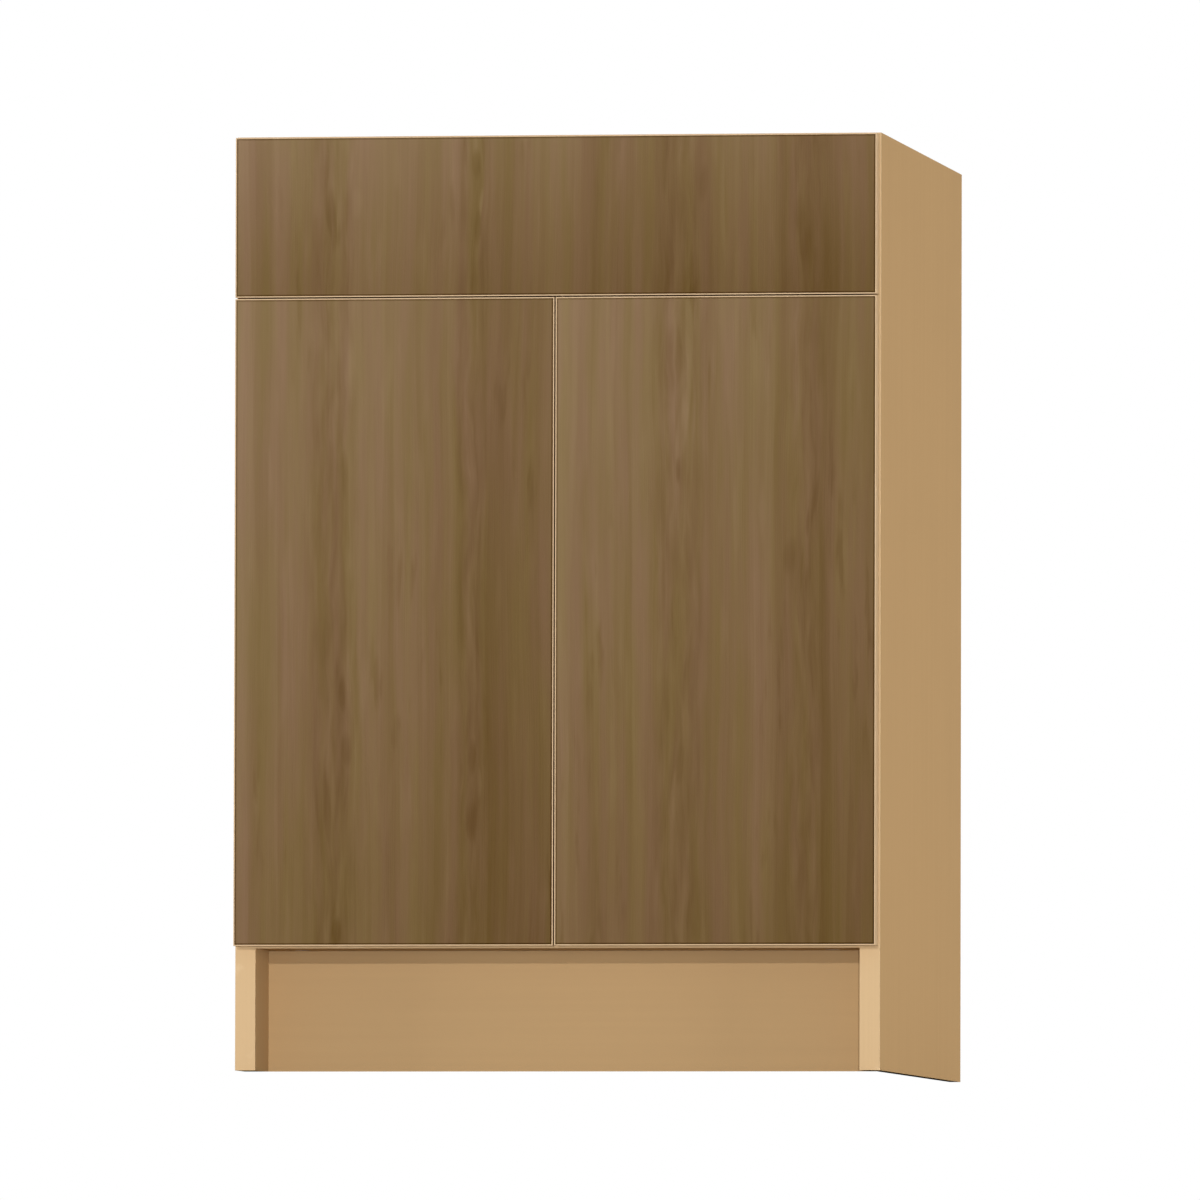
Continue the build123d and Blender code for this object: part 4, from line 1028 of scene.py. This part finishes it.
@dataclass
class BallSlides:
    """Roll-formed drawer slides and the cages that space their balls."""

    sheet: float = 1.2 * MM
    bend: float = 2.2 * MM
    cage_half_width: float = 1.5 * MM
    cage_half_height: float = 0.3 * MM
    cage_end: float = 9.0 * MM
    ball_pitch: float = 20.0 * MM
    row_gap: float = 0.5 * MM
    scallop: float = 0.35 * MM
    cage_stations: int = 240

    def build(self) -> None:
        """Members and cages of both slides."""
        steel = SLIDE_ZINC.material("slide_zinc")
        balls = BALL_STEEL.material("slide_ball_steel")
        for side in Side:
            slide = f"{side.value}_slide"
            dress(balls, [slide + "_balls"])
            for member, body in (("outer", "carcass"), ("middle", slide), ("inner", "drawer")):
                self._member(f"{slide}_{member}", body, (side is Side.LEFT) != (member == "inner"), steel)
            for number, (low, high) in enumerate(self._ball_rows(slide + "_balls"), start=1):
                self._cage(f"{side.value}_ball_cage_{number}", slide, low, high, steel)

    def _member(self, node: str, body: str, opens_right: bool, steel: bpy.types.Material) -> None:
        """One formed channel in its node's place.

        The profile is a U of sheet metal: two flanges with round tips, joined to the web by bends whose
        inner and outer radii differ by the sheet's thickness. It is carried straight along the slide.

        Args:
            node: The CAD node that the channel stands for.
            body: The body that it rides on.
            opens_right: True where the web is on the left and the flanges point right.
            steel: The finish.
        """
        low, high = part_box(node)
        half = (high.z - low.z) / 2
        middle = (high.z + low.z) / 2
        tip = self.sheet / 2
        end = high.x - low.x - tip
        inner_bend = self.bend - self.sheet
        level = half - self.bend
        profile = np.concatenate([
            arc((self.bend, -level), self.bend, 270, 180), arc((self.bend, level), self.bend, 180, 90),
            arc((end, half - tip), tip, 90, -90), arc((self.bend, level), inner_bend, 90, 180),
            arc((self.bend, -level), inner_bend, 180, 270), arc((end, tip - half), tip, 90, -90),
        ])
        x = low.x + profile[:, 0] if opens_right else high.x - profile[:, 0]
        section = np.column_stack([x, np.zeros_like(x), middle + profile[:, 1]])
        ends = np.array([(0.0, low.y, 0.0), (0.0, high.y, 0.0)])
        piece = swept_mesh(node + "_formed", section[None] + ends[:, None], steel)
        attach(piece, body)
        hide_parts(node)
        LOG.info("%s stands for %s", piece.name, node)

    def _ball_rows(self, node: str) -> list[tuple[Vector, Vector]]:
        """Boxes of a slide's rows of balls, told apart by the gap between their heights.

        Args:
            node: The node that holds the balls.

        Returns:
            The lowest and highest corner of each row.
        """
        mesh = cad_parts[node].data
        points = np.empty(len(mesh.vertices) * 3, np.float32)
        mesh.vertices.foreach_get("co", points)
        points = points.reshape(-1, 3)
        heights = np.sort(points[:, 2])
        breaks = heights[1:][np.diff(heights) > self.row_gap]
        row_of = np.searchsorted(breaks, points[:, 2], side="right")
        rows = [points[row_of == row] for row in range(len(breaks) + 1)]
        return [(Vector(row.min(axis=0)), Vector(row.max(axis=0))) for row in rows]

    def _cage(self, name: str, body: str, low: Vector, high: Vector, steel: bpy.types.Material) -> None:
        """Strip that spaces a row of balls.

        The profile is a flat strip with round edges; its width swells round every ball as the cosine of the
        place along the row over the balls' pitch.

        Args:
            name: The piece's name.
            body: The body that it rides on.
            low: Lowest corner of the row of balls.
            high: Highest corner of the row of balls.
            steel: The finish.
        """
        flat = self.cage_half_width - self.cage_half_height
        profile = np.concatenate([arc((flat, 0.0), self.cage_half_height, -90, 90),
                                  arc((-flat, 0.0), self.cage_half_height, 90, 270)])
        middle = (low + high) / 2
        first_ball = low.y + (high.z - low.z) / 2
        along = np.linspace(low.y - self.cage_end, high.y + self.cage_end, self.cage_stations)
        wave = np.cos(2 * np.pi * (along - first_ball) / self.ball_pitch)
        swell = 1.0 + self.scallop / self.cage_half_width * wave
        x = middle.x + swell[:, None] * profile[None, :, 0]
        y = np.broadcast_to(along[:, None], x.shape)
        z = np.broadcast_to(middle.z + profile[None, :, 1], x.shape)
        piece = swept_mesh(name, np.stack([x, y, z], axis=-1), steel)
        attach(piece, body)
        LOG.info("%s rides %s", name, body)


@dataclass
class PushLatches:
    """Latches that push the fronts open."""

    plungers: tuple[str, ...] = ("left_latch_plunger", "right_latch_plunger", "drawer_latch_plunger")
    plunger_grey: Colour = srgb(176, 178, 180)

    def dress(self) -> None:
        """Grey housings, paler plungers and steel springs."""
        dress(MouldedPlastic().material("latch_housing_grey"), ["latch_housings"])
        dress(MouldedPlastic(self.plunger_grey).material("latch_plunger_grey"), self.plungers)
        dress(SCREW_ZINC.material("latch_spring_steel"), ["latch_springs"])


@dataclass
class Studio:
    """White room: floor, soft lamps all round, one low key lamp and the camera."""

    aim: Vector = Vector((0.040, -0.283, 0.440))
    distance: float = 17.37
    azimuth: float = 8.47
    elevation: float = -2.56
    roll: float = 0.14
    lens: float = 556.9
    sensor: float = 36.0
    sight: float = 100.0
    floor_reach: float = 7.0
    floor_gap: float = 0.5 * MM
    sheet_gap: float = 1.0 * MM
    floor_near: float = 0.6
    floor_far: float = 2.2
    floor_seen: float = 1.35
    floor_bounce: float = 0.5
    floor_cloud: Noise = Noise(1.5, 3.0, tone=0.01)
    ambient: float = 0.34
    key_elevation: float = 8.4
    sun_spread: float = 0.6
    key_strength: float = 0.86
    fill_elevation: float = 0.5
    fill_strength: float = 0.91
    soft_distance: float = 5.0
    soft_height: float = 0.3
    side_ahead: float = 0.8
    side_width: float = 4.0
    side_power: float = 140.0
    top_place: Vector = Vector((0.0, 0.0, 4.5))
    top_aim: Vector = Vector((0.0, 0.001, 0.0))
    top_size: float = 1.5
    top_power: float = 75.0

    def build(self) -> None:
        """Floor, world, lamps and camera."""
        self._floor()
        self._world()
        self._lamps()
        self._camera()

    @staticmethod
    def _plane(name: str, low: Vector, high: Vector, z: float, material: bpy.types.Material) -> None:
        """Level stage rectangle that faces up.

        Args:
            name: The rectangle's name.
            low: Its lowest corner in plan.
            high: Its highest corner in plan.
            z: Its height.
            material: Its finish.
        """
        mesh = bpy.data.meshes.new(name)
        corners = [(low.x, low.y, z), (high.x, low.y, z), (high.x, high.y, z), (low.x, high.y, z)]
        mesh.from_pydata(corners, [], [(0, 1, 2, 3)])
        add_object(name, mesh, material)

    def _floor(self) -> None:
        """Pale floor, white further off, that shows only from above; a white sheet shows from below."""
        floor = bpy.data.materials.new("floor_pale")
        shader = Shader(floor)
        x, y, _ = shader.axes()
        seen = shader.seen()
        level = shader.mix(seen, (self.floor_bounce,) * 3, (self.floor_seen,) * 3)
        cloudy = shader.scaled(level, 1.0 + self.floor_cloud.read(shader) * self.floor_cloud.tone)
        pale = shader.node("BsdfDiffuse", inputs={"Color": cloudy})
        white = shader.node("Emission", inputs={"Color": WHITE})
        far = (x * x + y * y).math("SQRT").smooth(self.floor_near, self.floor_far) * seen
        above = shader.node("MixShader", inputs={0: far, 1: pale, 2: white})
        under = shader.node("NewGeometry", output="Backfacing")
        clear = shader.node("BsdfTransparent")
        shader.close(shader.node("MixShader", inputs={0: under, 1: above, 2: clear}))
        corner = Vector((self.floor_reach, self.floor_reach, 0.0))
        self._plane("floor", -corner, corner, -self.floor_gap, floor)
        sheet = bpy.data.materials.new("floor_sheet_white")
        shader = Shader(sheet)
        shader.close(shader.node("Emission", inputs={"Color": WHITE}))
        self._plane("floor_sheet", *CAD_BOX, -self.sheet_gap - self.floor_gap, sheet)

    def _world(self) -> None:
        """White background, and an even soft light of its own level."""
        world = bpy.data.worlds.new("white_room")
        shader = Shader(world)
        level = shader.seen() * (1.0 - self.ambient) + self.ambient
        sky = shader.node("Background", inputs={"Color": WHITE, "Strength": level})
        shader.close(sky, "OutputWorld")
        bpy.context.scene.world = world

    def _lamp(self, name: str, power: float, place: Vector, aim: Vector,
              size: Optional[tuple[float, float]] = None) -> None:
        """Add a lamp that the camera and reflections don't show.

        Args:
            name: The lamp's name.
            power: A sun's strength, or a soft box's watts.
            place: Where it stands.
            aim: The point that it is turned to.
            size: A soft box's width and height; a lamp without is a sun.
        """
        light = bpy.data.lights.new(name, "AREA" if size else "SUN")
        light.energy = power
        if size:
            light.shape = "RECTANGLE"
            light.size, light.size_y = size
        else:
            light.angle = math.radians(self.sun_spread)
        lamp = bpy.data.objects.new(name, light)
        lamp.location = place
        lamp.rotation_euler = (aim - place).to_track_quat("-Z", "Y").to_euler()
        lamp.visible_camera = False
        lamp.visible_glossy = False
        bpy.context.scene.collection.objects.link(lamp)

    def _lamps(self) -> None:
        """A low key lamp and a fill beside the camera, long low soft boxes on three sides, one overhead."""
        key = self._way(0.0, self.key_elevation) * self.soft_distance
        fill = self._way(self.azimuth, self.fill_elevation) * self.soft_distance
        self._lamp("key", self.key_strength, self.aim + key, self.aim)
        self._lamp("fill", self.fill_strength, self.aim + fill, self.aim)
        middle = Vector((0.0, 0.0, self.soft_height / 2))
        far, ahead = self.soft_distance, -self.side_ahead
        for name, x, y in (("soft_right", far, ahead), ("soft_rear", 0.0, far), ("soft_left", -far, ahead)):
            place = middle + Vector((x, y, 0.0))
            self._lamp(name, self.side_power, place, middle, (self.side_width, self.soft_height))
        self._lamp("soft_top", self.top_power, self.top_place, self.top_aim, (self.top_size, self.top_size))

    @staticmethod
    def _way(azimuth: float, elevation: float) -> Vector:
        """Direction away from the front, by degrees towards the right and degrees above the floor."""
        turn, rise = math.radians(azimuth), math.radians(elevation)
        return Vector((math.sin(turn) * math.cos(rise), -math.cos(turn) * math.cos(rise), math.sin(rise)))

    def _camera(self) -> None:
        """Long lens from a little to the right and just below the floor's level."""
        turn, roll = math.radians(self.azimuth), math.radians(self.roll)
        ahead = -self._way(self.azimuth, self.elevation)
        level = Vector((math.cos(turn), math.sin(turn), 0.0))
        upright = level.cross(ahead)
        right = level * math.cos(roll) + upright * math.sin(roll)
        up = upright * math.cos(roll) - level * math.sin(roll)
        data = bpy.data.cameras.new("camera")
        data.lens = self.lens
        data.sensor_width = self.sensor
        data.clip_end = self.sight
        camera = bpy.data.objects.new("camera", data)
        turned = Matrix((right, up, -ahead)).transposed().to_4x4()
        camera.matrix_world = Matrix.Translation(self.aim - ahead * self.distance) @ turned
        bpy.context.scene.collection.objects.link(camera)
        bpy.context.scene.camera = camera
        bpy.context.scene.view_settings.view_transform = "Standard"


def main() -> None:
    """Dress the frame, add the formed pieces and light the room."""
    logging.basicConfig(level=logging.INFO, format="%(name)s %(message)s")
    Fronts().dress()
    Carcass().dress()
    CupHinges().dress()
    DrawerBox().dress()
    BallSlides().build()
    PushLatches().dress()
    Studio().build()


if __name__ == "__main__":
    main()
